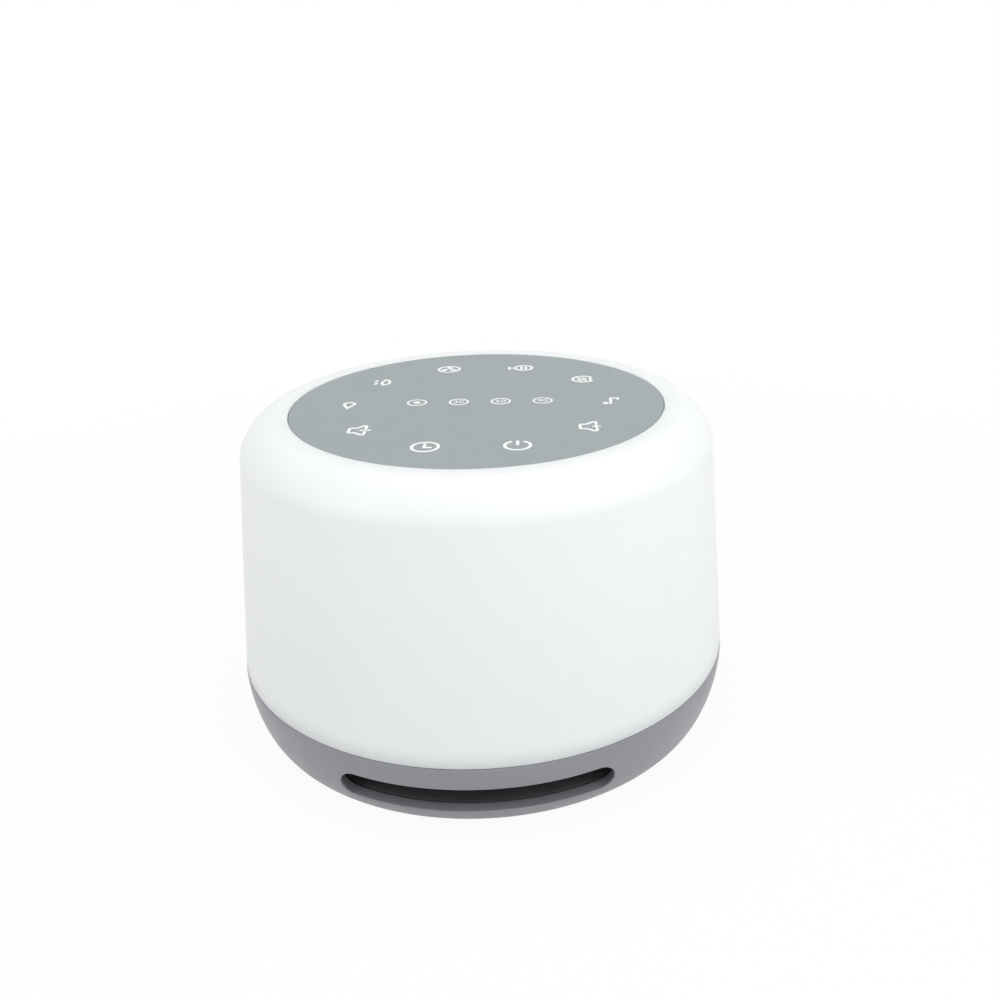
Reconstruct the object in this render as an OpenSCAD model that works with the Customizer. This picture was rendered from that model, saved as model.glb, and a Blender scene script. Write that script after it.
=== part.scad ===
// White noise sound machine: a white night-light drum on a grey base, with a round touch panel on top
// and a curved sound slot in the front of the base. Millimetres, +Z up, front towards -Y.
// The origin is the middle of the footprint on the table. Heights are measured from the underside of
// the base, and on_feet() lifts every piece by what the rubber feet stand proud.

/* [Body] */
// Height from the underside of the base to the top rim
body_h = 70; // [68:0.5:90]
// Radius of the widest ring, low on the wall
wide_r = 55.3; // [54.6:0.1:60]
// Height of the widest ring above the underside
wide_z = 13.5; // [12.5:0.1:14]
// Radius of the flat underside
under_r = 50.3; // [49.6:0.1:52]
// Roundness of the base curve, where 2 is an ellipse
base_round = 1.57; // [1.5:0.01:2]
// Radius of the wall where the shoulder starts
shoulder_r = 52.7; // [52:0.1:54]
// Height of the shoulder
shoulder_h = 7.6; // [6:0.1:9]
// Roundness of the shoulder, where 2 is an ellipse
shoulder_round = 1.64; // [1.5:0.01:2]
// Outer radius of the flat top rim
rim_r = 45.3; // [44:0.1:47]
// Height of the joint between the drum and the base
seam_z = 14.5; // [14.3:0.1:17]

/* [Shells] */
// Wall of the white drum
drum_wall = 2.4; // [1.8:0.1:2.8]
// Round on the lower edge of the drum
drum_edge = 0.5; // [0.3:0.05:0.8]
// Wall of the grey base
base_wall = 2.6; // [2:0.1:3]
// Floor of the grey base
floor_t = 2.4; // [2:0.1:2.6]
// Gap between the drum's lower edge and the base's upper edge
seam_gap = 0.15; // [0.1:0.05:0.3]
// Thickness of the lip that the drum slips over
lip_t = 1.4; // [1:0.1:1.8]
// Height of the lip above the joint
lip_h = 3; // [2:0.1:4]
// Height of the lip's root below the joint
lip_root = 3; // [2:0.1:3.2]
// Clearance between the lip and the drum
lip_clear = 0.15; // [0.1:0.05:0.3]

/* [Sound slot] */
// Width of the slot across the front, inside its rounded edge
slot_w = 54.2; // [40:0.2:58]
// Height of the slot, inside its rounded edge
slot_h = 6.1; // [5.8:0.1:6.6]
// Height of the slot's middle above the underside
slot_z = 6.5; // [6.4:0.1:6.8]
// Round of the slot's bell-mouthed edge
slot_flare = 0.5; // [0.3:0.05:0.9]

/* [Sound duct] */
// Inner radius of the duct under the speaker
duct_r = 24.5; // [23:0.1:25]
// Inner width of the duct at its mouth
duct_mouth = 53; // [50:0.2:54]
// Wall of the duct
duct_wall = 1.2; // [0.8:0.1:1.5]
// Floor of the duct
duct_floor = 1; // [0.8:0.1:1.4]
// Gap between the duct and the base wall in front of it
duct_clear = 0.35; // [0.3:0.05:0.8]

/* [Deck] */
// Height of the underside of the speaker deck
deck_z = 11.6; // [11.4:0.1:12]
// Thickness of the deck
deck_t = 2; // [1.6:0.1:2.4]
// Gap between the deck's edge and the lip
deck_clear = 0.3; // [0.3:0.05:0.6]
// Radius of the hole that the speaker plays through
deck_hole_r = 20.8; // [19:0.1:21]

/* [Feet] */
// How far the rubber feet stand proud
foot_h = 0.8; // [0.5:0.1:1.5]
// Depth of the recess that holds a foot
foot_in = 0.8; // [0.5:0.1:1.2]
// Radius of a foot
foot_r = 6; // [4:0.1:7]
// Distance of the feet from the middle
foot_ring_r = 40; // [36:0.5:42]
// Clearance round a foot in its recess
foot_clear = 0.1; // [0.05:0.05:0.2]

/* [Touch panel] */
// Radius of the touch panel
panel_r = 42; // [41:0.1:43]
// Thickness of the touch panel
panel_t = 1.5; // [1:0.1:2]
// Gap round the touch panel
panel_clear = 0.15; // [0.1:0.05:0.3]
// How far the panel lies below the rim
panel_sink = 0.1; // [0:0.05:0.4]
// Chamfer on the panel's upper edge
panel_chamfer = 0.25; // [0.1:0.05:0.5]
// Thickness of the adhesive ring under the panel
tape_t = 0.2; // [0.1:0.05:0.4]
// Width of the adhesive ring
tape_w = 3.2; // [2:0.1:3.6]
// Width of the ledge that carries the panel
ledge_w = 4.4; // [4:0.1:5]
// Thickness of that ledge
ledge_t = 2.2; // [1.8:0.1:2.6]
// Radius of the ring of touch signs
sign_ring_r = 30; // [27:0.5:31]
// Number of touch signs on the ring
sign_count = 10; // [6:1:12]
// Radius of the light tunnel behind a sign
sign_hole_r = 3.4; // [2.5:0.1:3.8]
// Number of timer marks in the middle row
mark_count = 4; // [2:1:5]
// Distance between the timer marks
mark_pitch = 9.5; // [7:0.1:10]
// Distance of the row behind the middle
mark_y = 0.6; // [0:0.1:4]
// Radius of the light tunnel behind a timer mark
mark_hole_r = 2.4; // [1.8:0.1:3]
// Thickness of the light mask
mask_t = 2.2; // [1.6:0.1:3]
// Thickness of the touch board
touch_board_t = 1.2; // [0.8:0.1:1.6]
// Gap between the mask and the ledge round it
mask_clear = 0.5; // [0.3:0.05:0.8]

/* [Panel carrier] */
// Length of the screw bosses that hang under the ledge
boss_h = 6; // [5:0.5:8]
// Radius of a boss
boss_r = 3; // [2.6:0.1:3.2]
// Distance of the bosses from the middle
boss_ring_r = 42.2; // [41.8:0.1:43]
// Thickness of the carrier plate
carrier_t = 1.6; // [1.2:0.1:2]
// Radius of the carrier's middle opening
carrier_hole_r = 14; // [10:0.5:16]
// Outer radius of the rib that presses on the touch board
carrier_rib_r = 34; // [32:0.5:36]
// Thickness of that rib
carrier_rib_t = 1.6; // [1.2:0.1:2]

/* [Speaker] */
// Radius of the speaker frame
speaker_r = 25; // [24:0.1:25.6]
// Width of the frame's front flange
flange_w = 3.6; // [3:0.1:4]
// Thickness of the frame's steel
frame_t = 1; // [0.8:0.1:1.2]
// Depth of the basket behind the flange
basket_h = 9; // [8.5:0.1:10]
// Thickness of the foam gasket
gasket_t = 0.8; // [0.6:0.1:1.2]
// Thickness of the surround's rubber
surround_t = 0.4; // [0.3:0.05:0.5]
// Radius of the surround's roll
roll_r = 1.9; // [1.5:0.1:2.2]
// Thickness of the cone's paper
cone_t = 0.5; // [0.4:0.05:0.7]
// Depth of the cone
cone_h = 5; // [4.6:0.1:5.2]
// Radius of the voice coil
coil_r = 6.95; // [6.6:0.05:7.1]
// Thickness of the voice coil with its former
coil_t = 0.5; // [0.4:0.05:0.6]
// Running gap on each side of the coil
coil_gap = 0.35; // [0.3:0.05:0.5]
// Radius of the magnet
magnet_r = 15.6; // [14:0.1:17]
// Thickness of the magnet
magnet_t = 5; // [4:0.1:6]
// Thickness of the steel plates of the magnet
plate_t = 2; // [1.6:0.1:2.2]
// Distance of the frame's screw ears from the middle
ear_ring_r = 27.6; // [27.4:0.1:27.9]
// Radius of an ear
ear_r = 3; // [2.8:0.1:3.2]

/* [Speaker chamber] */
// Inner radius of the chamber over the speaker
chamber_r = 31.5; // [31.2:0.1:32]
// Wall of the chamber
chamber_wall = 1.8; // [1.4:0.1:2]
// Room between the speaker and the chamber's roof
chamber_room = 2; // [1:0.1:6]
// Thickness of the chamber's feet
chamber_foot_t = 2; // [1.6:0.1:2.4]

/* [Night light] */
// Height of the lamp board above the deck
lamp_lift = 3.6; // [3.4:0.1:5]
// Thickness of the lamp board
lamp_board_t = 1.2; // [0.8:0.1:1.6]
// Gap between the chamber and the lamp board round it
lamp_gap = 0.9; // [0.5:0.1:1.2]
// Gap between the lamp board and the drum's posts
lamp_post_gap = 0.6; // [0.4:0.1:1]
// Number of lamps
lamp_count = 12; // [8:2:12]
// Thickness of the reflector
reflector_t = 1; // [0.8:0.1:1.4]
// Rise of the reflector towards the drum
reflector_rise = 5; // [3:0.1:6]
// Gap between the reflector and the drum
reflector_clear = 0.4; // [0.3:0.05:1]

/* [Drum posts] */
// Radius of a post that takes a base screw
post_r = 3.2; // [2.8:0.1:3.4]
// Height of a post
post_h = 12.4; // [10:0.1:16]
// Thickness of the web between a post and the drum wall
web_t = 1.6; // [1.2:0.1:2]
// Distance of the base screws from the middle
screw_ring_r = 44.4; // [44:0.1:44.8]
// Angle of the base screws above the X axis
screw_angle = 40; // [38:1:46]
// Radius of the base's screw pillars
pillar_r = 4; // [3.8:0.1:4.2]

/* [Screws] */
// Radius of the base screws
base_screw_r = 1.5; // [1.2:0.05:1.6]
// Length of the base screws under the head
base_screw_len = 14; // [12:0.5:15]
// Radius of the small screws
small_screw_r = 1.1; // [0.9:0.05:1.2]
// Clearance round a screw in its hole
screw_clear = 0.1; // [0.05:0.05:0.15]

/* [Main board] */
// Width of the main board
board_w = 40; // [38:0.5:41]
// Gap between the duct and the main board behind it
board_gap = 0.8; // [0.5:0.1:1.2]
// Gap between the main board's rounded corners and the base wall
board_edge_clear = 0.5; // [0.3:0.1:1]
// Thickness of the main board
board_t = 1.2; // [0.8:0.1:1.6]
// Height of the posts under the main board
board_lift = 1.6; // [1.2:0.1:1.8]
// Gap between the main board and the inlet wall
board_clear = 0.3; // [0.2:0.05:0.6]

/* [Power inlet] */
// Distance of the inlet wall's outer face from the widest ring
inlet_inset = 5.8; // [5.4:0.1:6]
// Thickness of the inlet wall
inlet_wall = 1.6; // [1.2:0.1:2]
// Width of the pocket for the plug
pocket_w = 13.2; // [12.6:0.1:14]
// Height of the pocket for the plug
pocket_h = 7; // [6.6:0.1:7.2]
// Width of the inlet's steel shell
inlet_w = 8.94; // [8.8:0.02:9]
// Height of the inlet's steel shell
inlet_h = 3.2; // [3.1:0.02:3.3]
// Depth of the inlet's steel shell
inlet_d = 7.3; // [7:0.1:7.6]
// Thickness of the shell's steel
inlet_t = 0.3; // [0.25:0.05:0.35]
// Gap between the shell and its window
inlet_clear = 0.25; // [0.2:0.05:0.3]

/* [Leads] */
// Width of the flat lead to the touch board
ribbon_w = 8; // [6:0.5:10]
// Thickness of the flat lead
ribbon_t = 0.6; // [0.4:0.1:0.8]
// Gap between the flat lead and the chamber that it passes behind
ribbon_room = 1.2; // [0.9:0.1:1.4]
// Clearance round a lead where it passes through the deck
lead_clear = 0.5; // [0.4:0.1:0.7]
// Width of the twin leads
twin_w = 2.4; // [2:0.1:3]
// Thickness of the twin leads
twin_t = 1; // [0.8:0.1:1.2]
// Height of the lead connectors
plug_h = 3; // [2.6:0.1:3.4]

/* [Hidden] */
$fn = 96;
eps = 0.01;
cut = 1;

curve_steps = 12;
edge_steps = 4;
flare_steps = 3;

shoulder_z = body_h - shoulder_h;
base_top = seam_z - seam_gap;
deck_top = deck_z + deck_t;

// Radius of the outer skin at a height above the underside
function base_curve_r(z) =
    under_r + (wide_r - under_r)
    * pow(sin(acos(pow((wide_z - z) / wide_z, base_round / 2))), 2 / base_round);
function wall_r(z) = wide_r + (shoulder_r - wide_r) * (z - wide_z) / (shoulder_z - wide_z);
function shoulder_curve_r(z) =
    rim_r + (shoulder_r - rim_r)
    * pow(cos(asin(pow((z - shoulder_z) / shoulder_h, shoulder_round / 2))), 2 / shoulder_round);
function body_r(z) =
    z < wide_z ? base_curve_r(z)
    : z < shoulder_z ? wall_r(z)
    : shoulder_curve_r(z);

// Points of the two curves of the outer skin, each a quarter of a superellipse
base_curve = [for (i = [0:curve_steps]) let (t = 90 * i / curve_steps) [
    under_r + (wide_r - under_r) * pow(sin(t), 2 / base_round),
    wide_z * (1 - pow(cos(t), 2 / base_round))
]];
shoulder_curve = [for (i = [0:curve_steps]) let (t = 90 * i / curve_steps) [
    rim_r + (shoulder_r - rim_r) * pow(cos(t), 2 / shoulder_round),
    shoulder_z + shoulder_h * pow(sin(t), 2 / shoulder_round)
]];

// Lip of the base, inside the drum
lip_r = body_r(seam_z + lip_h) - drum_wall - lip_clear;
lip_in_r = lip_r - lip_t;
lip_foot = seam_z - lip_root;
deck_r = lip_in_r - deck_clear;

// Sound duct
duct_front_r = body_r(floor_t) - base_wall - duct_clear;

// Base screws and drum posts
screw_spots = [for (sx = [-1, 1], sy = [-1, 1])
    [sx * screw_ring_r * cos(screw_angle), sy * screw_ring_r * sin(screw_angle)]];
post_roof = 2;
screw_spare = 3;
screw_head_z = deck_top + post_h - post_roof - screw_spare - base_screw_len;
head_room = 0.4;
head_ratio = 1.85;

// Touch panel stack, from the top down
panel_top = body_h - panel_sink;
panel_low = panel_top - panel_t;
ledge_top = panel_low - tape_t;
ledge_low = ledge_top - ledge_t;
ledge_r = panel_r - ledge_w;
mask_r = ledge_r - mask_clear;
mask_low = panel_low - mask_t;
touch_board_low = mask_low - touch_board_t;
carrier_top = ledge_low - boss_h;
carrier_low = carrier_top - carrier_t;
boss_angles = [45, 135, 225, 315];
sign_spots = [for (i = [0:sign_count - 1]) let (a = 360 * i / sign_count)
    [sign_ring_r * cos(a), sign_ring_r * sin(a)]];
mark_spots = [for (i = [0:mark_count - 1]) [(i - (mark_count - 1) / 2) * mark_pitch, mark_y]];
sign_lamp = [1.6, 0.8, 0.7];

// Speaker, face down on the deck
face_z = deck_top + gasket_t + surround_t;
flange_in_r = speaker_r - flange_w;
roll_mid_r = flange_in_r - 0.3 - roll_r;
cone_edge_r = roll_mid_r - roll_r - 0.2;
ledge_in_r = cone_edge_r - 3.2;
ledge_out_r = cone_edge_r - 0.5;
seat_r = ledge_in_r - 0.7;
neck_r = coil_r + 0.05;
glue_gap = 0.05;
spider_z = face_z + basket_h - 2.4;
front_plate_z = face_z + basket_h + frame_t;
magnet_z = front_plate_z + plate_t;
yoke_z = magnet_z + magnet_t;
speaker_top = yoke_z + plate_t;
pole_r = coil_r - coil_t - coil_gap;
bore_r = coil_r + coil_gap;
ear_angles = [45, 135, 225, 315];

// Speaker chamber
chamber_top = speaker_top + chamber_room + chamber_wall;
chamber_out_r = chamber_r + chamber_wall;
chamber_ear_r = 3;
chamber_ear_ring = chamber_out_r + 2.7;
chamber_angles = [20, 160, 200, 340];

// Night light
lamp_z = deck_top + lamp_lift;
lamp_top = lamp_z + lamp_board_t;
lamp_in_r = chamber_out_r + lamp_gap;
lamp_out_r = screw_ring_r - post_r - lamp_post_gap;
lamp_ring_r = (lamp_in_r + lamp_out_r) / 2;
lamp_size = [3.5, 2.8, 0.8];
lamp_post_r = 2.2;
lamp_post_ring = lamp_out_r - 2.4;
lamp_angles = [60, 120, 240, 300];
reflector_out_r = body_r(lamp_top + reflector_rise + reflector_t) - drum_wall - reflector_clear;

// Power inlet and main board
board_z = floor_t + board_lift;
board_top = board_z + board_t;
inlet_y = wide_r - inlet_inset;
board_back = inlet_y - inlet_wall - board_clear;
board_front = duct_r + duct_wall + board_gap;
board_edge_r = body_r(board_z) - base_wall - board_edge_clear;
inlet_z = board_top + inlet_h / 2;
inlet_mouth = inlet_y - 0.2;
inlet_back_t = 0.2;
pocket_wall = 1.6;
board_post_r = 2.2;
board_screw_x = board_w / 2 - 3;
board_screw_spots = [
    [-board_screw_x, board_back - 4], [board_screw_x, board_back - 4], [-board_screw_x, board_front + 3]
];

// Chips and capacitors: width, depth and height, and the corner or middle that places them on the board
main_chip = [6, 5, 1.4];
charge_chip = [3.6, 4, 1.5];
sound_chip = [4, 3, 1.1];
chip_leg = [0.5, 0.9, 0.3];
main_chip_at = [-board_screw_x + 3, board_front + 3.4];
charge_chip_at = [inlet_w / 2 + 0.8, board_back - 6];
sound_chip_at = [-7.6, board_front + 2.1];
can_r = 2.5;
can_h = 5.2;
can_spots = [[-inlet_w / 2 - can_r - 1.6, board_back - 3.2], [board_screw_x - can_r, board_front + 4]];
touch_chip = [7, 6, 1.2];
touch_chip_at = [-14, -8];
lamp_chip = [5, 4, 1.2];
lamp_chip_at = [8, -6];

// Leads
ribbon_y = chamber_out_r + ribbon_room + ribbon_t / 2;
touch_plug_y = 22;
speaker_lead_y = (duct_r + duct_wall + chamber_r) / 2;
lamp_lead_x = 12;
lamp_lead_y = sqrt(pow(lamp_ring_r, 2) - pow(lamp_lead_x, 2));
terminal_y = speaker_r - 2.2;
terminal_t = 1;
plug_d = 3;
plug_side = 1;
plug_room = 0.8;
rear_gap_w = ribbon_w + 2 * plug_side + 2 * plug_room;

module on_feet() {
    translate([0, 0, foot_h]) children();
}

// A ring between two radii
module ring(r_out, r_in, h) {
    difference() {
        cylinder(h = h, r = r_out);
        translate([0, 0, -cut]) cylinder(h = h + 2 * cut, r = r_in);
    }
}

// A flat shape with round ends, centred, its long side along X
module racetrack(w, h) {
    square([w - h, h], center = true);
    translate([(w - h) / 2, 0]) circle(d = h);
    translate([-(w - h) / 2, 0]) circle(d = h);
}

// A racetrack pushed along +Y from y0 to y1
module racetrack_bar(w, h, y0, y1) {
    translate([0, y1, 0]) rotate([90, 0, 0]) linear_extrude(height = y1 - y0) racetrack(w, h);
}

// A pan-head screw: its head hangs below z = 0 and its shank points up
module screw(r, len) {
    head_h = 1.3 * r;
    head_r = head_ratio * r;
    slot_t = 0.4 * r;
    difference() {
        rotate_extrude() polygon([
            [0, -head_h], [0.6 * head_r, -head_h], [0.9 * head_r, -0.75 * head_h], [head_r, -0.4 * head_h],
            [head_r, 0], [r, 0], [r, len - 0.6 * r], [0.5 * r, len], [0, len]
        ]);
        for (a = [0, 90]) rotate([0, 0, a]) translate([0, 0, -head_h])
            cube([1.1 * head_r, slot_t, head_h], center = true);
    }
}

// A flat lead along a path in the YZ plane
function unit(v) = v / norm(v);
function path_way(p, i) = unit(p[min(i + 1, len(p) - 1)] - p[max(i - 1, 0)]);
function path_side(p, i, s) = let (d = path_way(p, i)) p[i] + s * [-d[1], d[0]];
module flat_lead(path, w, t) {
    last = len(path) - 1;
    rotate([90, 0, 90]) linear_extrude(height = w, center = true) polygon(concat(
        [for (i = [0:last]) path_side(path, i, t / 2)],
        [for (i = [last:-1:0]) path_side(path, i, -t / 2)]
    ));
}

// ---- Base ----

module base_shell() {
    inner_steps = 10;
    lip_slope_z = lip_foot - lip_t;
    rotate_extrude() polygon(concat(
        [[0, 0]],
        base_curve,
        [
            [body_r(base_top), base_top], [lip_r, base_top],
            [lip_r, seam_z + lip_h], [lip_in_r, seam_z + lip_h], [lip_in_r, lip_foot]
        ],
        [for (i = [inner_steps:-1:0]) let (z = floor_t + (lip_slope_z - floor_t) * i / inner_steps)
            [body_r(z) - base_wall, z]],
        [[0, floor_t]]
    ));
}

// Solid that ends halfway into the base's wall, to trim what is built against the wall
module base_core() {
    steps = 7;
    rotate_extrude() polygon(concat(
        [[0, floor_t / 2]],
        [for (i = [0:steps]) let (z = floor_t / 2 + (base_top - floor_t / 2) * i / steps)
            [body_r(z) - base_wall / 2, z]],
        [[0, base_top]]
    ));
}

// Sound slot: a level tunnel through the front wall, with a shallow mouth that flares to the skin.
// The mouth stands square to the skin, from a chord between the slot's lower and upper edge.
slot_low = slot_z - slot_h / 2;
slot_up = slot_z + slot_h / 2;
slot_mid_r = (body_r(slot_low) + body_r(slot_up)) / 2;
slot_tilt = atan2(body_r(slot_up) - body_r(slot_low), slot_h);
slot_back_y = 2 - sqrt(pow(body_r(slot_z) - base_wall, 2) - pow(slot_w / 2, 2));
mouth_angle = asin((slot_w / 2 - slot_h / 2 + slot_flare / 2) / slot_mid_r);

// Section of the mouth, s outwards and w across it: it narrows inwards into the tunnel's own room,
// turns through an arc and runs on past the skin at a slant
mouth_start = slot_tilt + 8;
mouth_turn = 60;
mouth_back = 0.1;
mouth_in = 1;
mouth_out = 3;
mouth_half = slot_h / cos(slot_tilt) / 2;
mouth_arc = [for (i = [0:flare_steps]) let (a = mouth_start + (mouth_turn - mouth_start) * i / flare_steps)
    [slot_flare * (sin(a) - sin(mouth_turn)) - mouth_back, mouth_half + slot_flare * (0.9 - cos(a))]];
mouth_side = concat(
    [mouth_arc[0] - mouth_in * [cos(mouth_start), sin(mouth_start)]],
    mouth_arc,
    [mouth_arc[flare_steps] + mouth_out * [cos(mouth_turn), sin(mouth_turn)]]
);
function mouth_point(s, w) = [
    slot_mid_r + s * cos(slot_tilt) + w * sin(slot_tilt),
    slot_z - s * sin(slot_tilt) + w * cos(slot_tilt)
];

module mouth_sector() {
    last = len(mouth_side) - 1;
    rotate([0, 0, -90 - mouth_angle]) rotate_extrude(angle = 2 * mouth_angle) polygon(concat(
        [for (i = [0:last]) mouth_point(mouth_side[i][0], mouth_side[i][1])],
        [for (i = [last:-1:0]) mouth_point(mouth_side[i][0], -mouth_side[i][1])]
    ));
}

// Round end of the mouth, a hair slimmer than the sector so that the two shapes never share a face
module mouth_end(side) {
    slim = 0.02;
    first = mouth_side[0];
    last = mouth_side[len(mouth_side) - 1];
    rotate([0, 0, -90 + side * mouth_angle]) translate([slot_mid_r, 0, slot_z])
        rotate([0, 90 + slot_tilt, 0]) rotate([0, 0, 90 * side]) rotate_extrude() polygon(concat(
            [[0, first[0] + slim], [first[1] - slim, first[0] + slim]],
            [for (p = mouth_side) [p[1] - slim, p[0]]],
            [[last[1] - slim, last[0] - slim], [0, last[0] - slim]]
        ));
}

module inlet_block() {
    w = pocket_w + 2 * pocket_wall;
    intersection() {
        translate([-w / 2, inlet_y - inlet_wall, floor_t / 2])
            cube([w, wide_r - inlet_y, deck_z - floor_t / 2]);
        base_core();
    }
}

module base_housing() {
    color("#8e9093") on_feet() difference() {
        union() {
            base_shell();
            for (p = screw_spots) translate([p[0], p[1], floor_t / 2])
                cylinder(h = deck_z - floor_t / 2, r = pillar_r);
            for (p = board_screw_spots) translate([p[0], p[1], floor_t / 2])
                cylinder(h = board_z - floor_t / 2, r = board_post_r);
            inlet_block();
        }
        translate([0, 0, slot_z]) racetrack_bar(slot_w, slot_h, -wide_r - cut, slot_back_y);
        mouth_sector();
        mouth_end(-1);
        mouth_end(1);
        translate([0, 0, inlet_z]) {
            racetrack_bar(pocket_w, pocket_h, inlet_y, wide_r + cut);
            racetrack_bar(inlet_w + 2 * inlet_clear, inlet_h + 2 * inlet_clear,
                inlet_y - inlet_wall - cut, inlet_y + cut);
        }
        for (p = screw_spots) translate([p[0], p[1], 0]) {
            translate([0, 0, -cut])
                cylinder(h = screw_head_z + cut, r = head_ratio * base_screw_r + head_room / 2);
            cylinder(h = deck_z + cut, r = base_screw_r + screw_clear);
        }
        for (p = board_screw_spots) translate([p[0], p[1], floor_t / 2])
            cylinder(h = board_z, r = small_screw_r + screw_clear);
        for (a = [0, 90, 180, 270]) rotate([0, 0, a]) translate([foot_ring_r, 0, -cut])
            cylinder(h = foot_in + cut, r = foot_r + foot_clear);
    }
}

module rubber_feet() {
    bevel = 0.4;
    color("#3a3b3d") on_feet() for (a = [0, 90, 180, 270]) rotate([0, 0, a])
        translate([foot_ring_r, 0, 0]) rotate_extrude() polygon([
            [0, -foot_h], [foot_r - bevel, -foot_h], [foot_r, bevel - foot_h],
            [foot_r, foot_in], [0, foot_in]
        ]);
}

module base_screws() {
    color("#9a9ca0") on_feet() for (p = screw_spots) translate([p[0], p[1], screw_head_z])
        screw(base_screw_r, base_screw_len);
}

// ---- Sound duct ----

module duct_outline(grow) {
    mouth = duct_mouth / 2 + grow;
    circle(r = duct_r + grow);
    polygon([
        [-duct_r - grow, 0], [-mouth, -duct_front_r],
        [mouth, -duct_front_r], [duct_r + grow, 0]
    ]);
}

module sound_duct() {
    color("#1d1e20") on_feet() intersection() {
        translate([0, 0, floor_t]) difference() {
            linear_extrude(height = deck_z - floor_t) duct_outline(duct_wall);
            translate([0, 0, duct_floor]) linear_extrude(height = deck_z) duct_outline(0);
            translate([-duct_mouth / 2, -duct_front_r - cut, duct_floor])
                cube([duct_mouth, duct_r, deck_z]);
        }
        cylinder(h = deck_z + cut, r = duct_front_r);
    }
}

// ---- Deck ----

// Hole through the deck for a lead
module lead_hole(x, y, w, t) {
    translate([x - w / 2 - lead_clear, y - t / 2 - lead_clear, deck_z - cut])
        cube([w + 2 * lead_clear, t + 2 * lead_clear, deck_t + 2 * cut]);
}

module speaker_deck() {
    color("#26272a") on_feet() difference() {
        union() {
            translate([0, 0, deck_z]) cylinder(h = deck_t, r = deck_r);
            for (a = lamp_angles) rotate([0, 0, a]) translate([lamp_post_ring, 0, deck_z])
                cylinder(h = lamp_z - deck_z, r = lamp_post_r);
        }
        translate([0, 0, deck_z - cut]) cylinder(h = deck_t + 2 * cut, r = deck_hole_r);
        for (p = screw_spots) translate([p[0], p[1], deck_z - cut])
            cylinder(h = deck_t + 2 * cut, r = base_screw_r + screw_clear);
        for (a = ear_angles) rotate([0, 0, a]) translate([ear_ring_r, 0, deck_z - cut])
            cylinder(h = deck_t + 2 * cut, r = small_screw_r + screw_clear);
        for (a = chamber_angles) rotate([0, 0, a]) translate([chamber_ear_ring, 0, deck_z - cut])
            cylinder(h = deck_t + 2 * cut, r = small_screw_r + screw_clear);
        for (a = lamp_angles) rotate([0, 0, a]) translate([lamp_post_ring, 0, deck_z + cut])
            cylinder(h = lamp_z, r = small_screw_r + screw_clear);
        lead_hole(0, ribbon_y, ribbon_w, ribbon_t);
        lead_hole(0, speaker_lead_y, twin_w, twin_t);
        lead_hole(lamp_lead_x, lamp_lead_y, twin_w, twin_t);
    }
}

// ---- Main board ----

module main_board() {
    color("#1f6b3f") on_feet() difference() {
        intersection() {
            translate([-board_w / 2, board_front, board_z])
                cube([board_w, board_back - board_front, board_t]);
            cylinder(h = board_top + cut, r = board_edge_r);
        }
        for (p = board_screw_spots) translate([p[0], p[1], board_z - cut])
            cylinder(h = board_t + 2 * cut, r = small_screw_r + screw_clear);
    }
}

module board_screws() {
    reach = board_t + board_lift;
    color("#b9bcc0") on_feet() for (p = board_screw_spots) translate([p[0], p[1], board_top])
        mirror([0, 0, 1]) screw(small_screw_r, reach);
}

// A chip with two rows of legs
module chip(body, legs) {
    cube(body);
    for (i = [0:legs - 1], y = [-chip_leg[1], body[1]])
        translate([(i + 0.5) * body[0] / legs - chip_leg[0] / 2, y, 0]) cube(chip_leg);
}

module board_chips() {
    color("#202124") on_feet() translate([0, 0, board_top]) {
        translate(main_chip_at) chip(main_chip, 6);
        translate(charge_chip_at) chip(charge_chip, 4);
        translate(sound_chip_at) chip(sound_chip, 4);
    }
}

module board_capacitors() {
    groove = 0.3;
    groove_z = 0.8;
    crown = 0.4;
    color("#b4b7bb") on_feet() for (p = can_spots) translate([p[0], p[1], board_top]) rotate_extrude() polygon([
        [0, 0], [can_r, 0], [can_r, groove_z], [can_r - groove, groove_z + groove], [can_r, groove_z + 2 * groove],
        [can_r, can_h - crown], [can_r - crown, can_h], [0, can_h]
    ]);
}

// A connector body that holds the end of a lead of a given width from above
module plug_body(w) {
    translate([-w / 2 - plug_side, -plug_d / 2, 0]) cube([w + 2 * plug_side, plug_d, plug_h]);
}

module board_connectors() {
    color("#e9e6dc") on_feet() translate([0, 0, board_top]) {
        translate([0, ribbon_y, 0]) plug_body(ribbon_w);
        translate([0, speaker_lead_y, 0]) plug_body(twin_w);
        translate([lamp_lead_x, lamp_lead_y, 0]) plug_body(twin_w);
    }
}

module power_inlet() {
    color("#c2c5c9") on_feet() translate([0, 0, inlet_z]) difference() {
        racetrack_bar(inlet_w, inlet_h, inlet_mouth - inlet_d, inlet_mouth);
        racetrack_bar(inlet_w - 2 * inlet_t, inlet_h - 2 * inlet_t,
            inlet_mouth - inlet_d + inlet_back_t, inlet_mouth + cut);
    }
}

module inlet_tongue() {
    seat = 0.05;
    back_d = 1.6;
    tongue = [6.7, 4.6, 0.7];
    y0 = inlet_mouth - inlet_d + inlet_back_t;
    color("#17181a") on_feet() translate([0, 0, inlet_z]) {
        racetrack_bar(inlet_w - 2 * inlet_t - 2 * seat, inlet_h - 2 * inlet_t - 2 * seat, y0 + seat, y0 + back_d);
        translate([-tongue[0] / 2, y0 + back_d - eps, -tongue[2] / 2]) cube(tongue);
    }
}

// ---- Speaker ----

module speaker_gasket() {
    color("#2b2b2d") on_feet() translate([0, 0, deck_top]) ring(speaker_r, flange_in_r, gasket_t);
}

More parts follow.
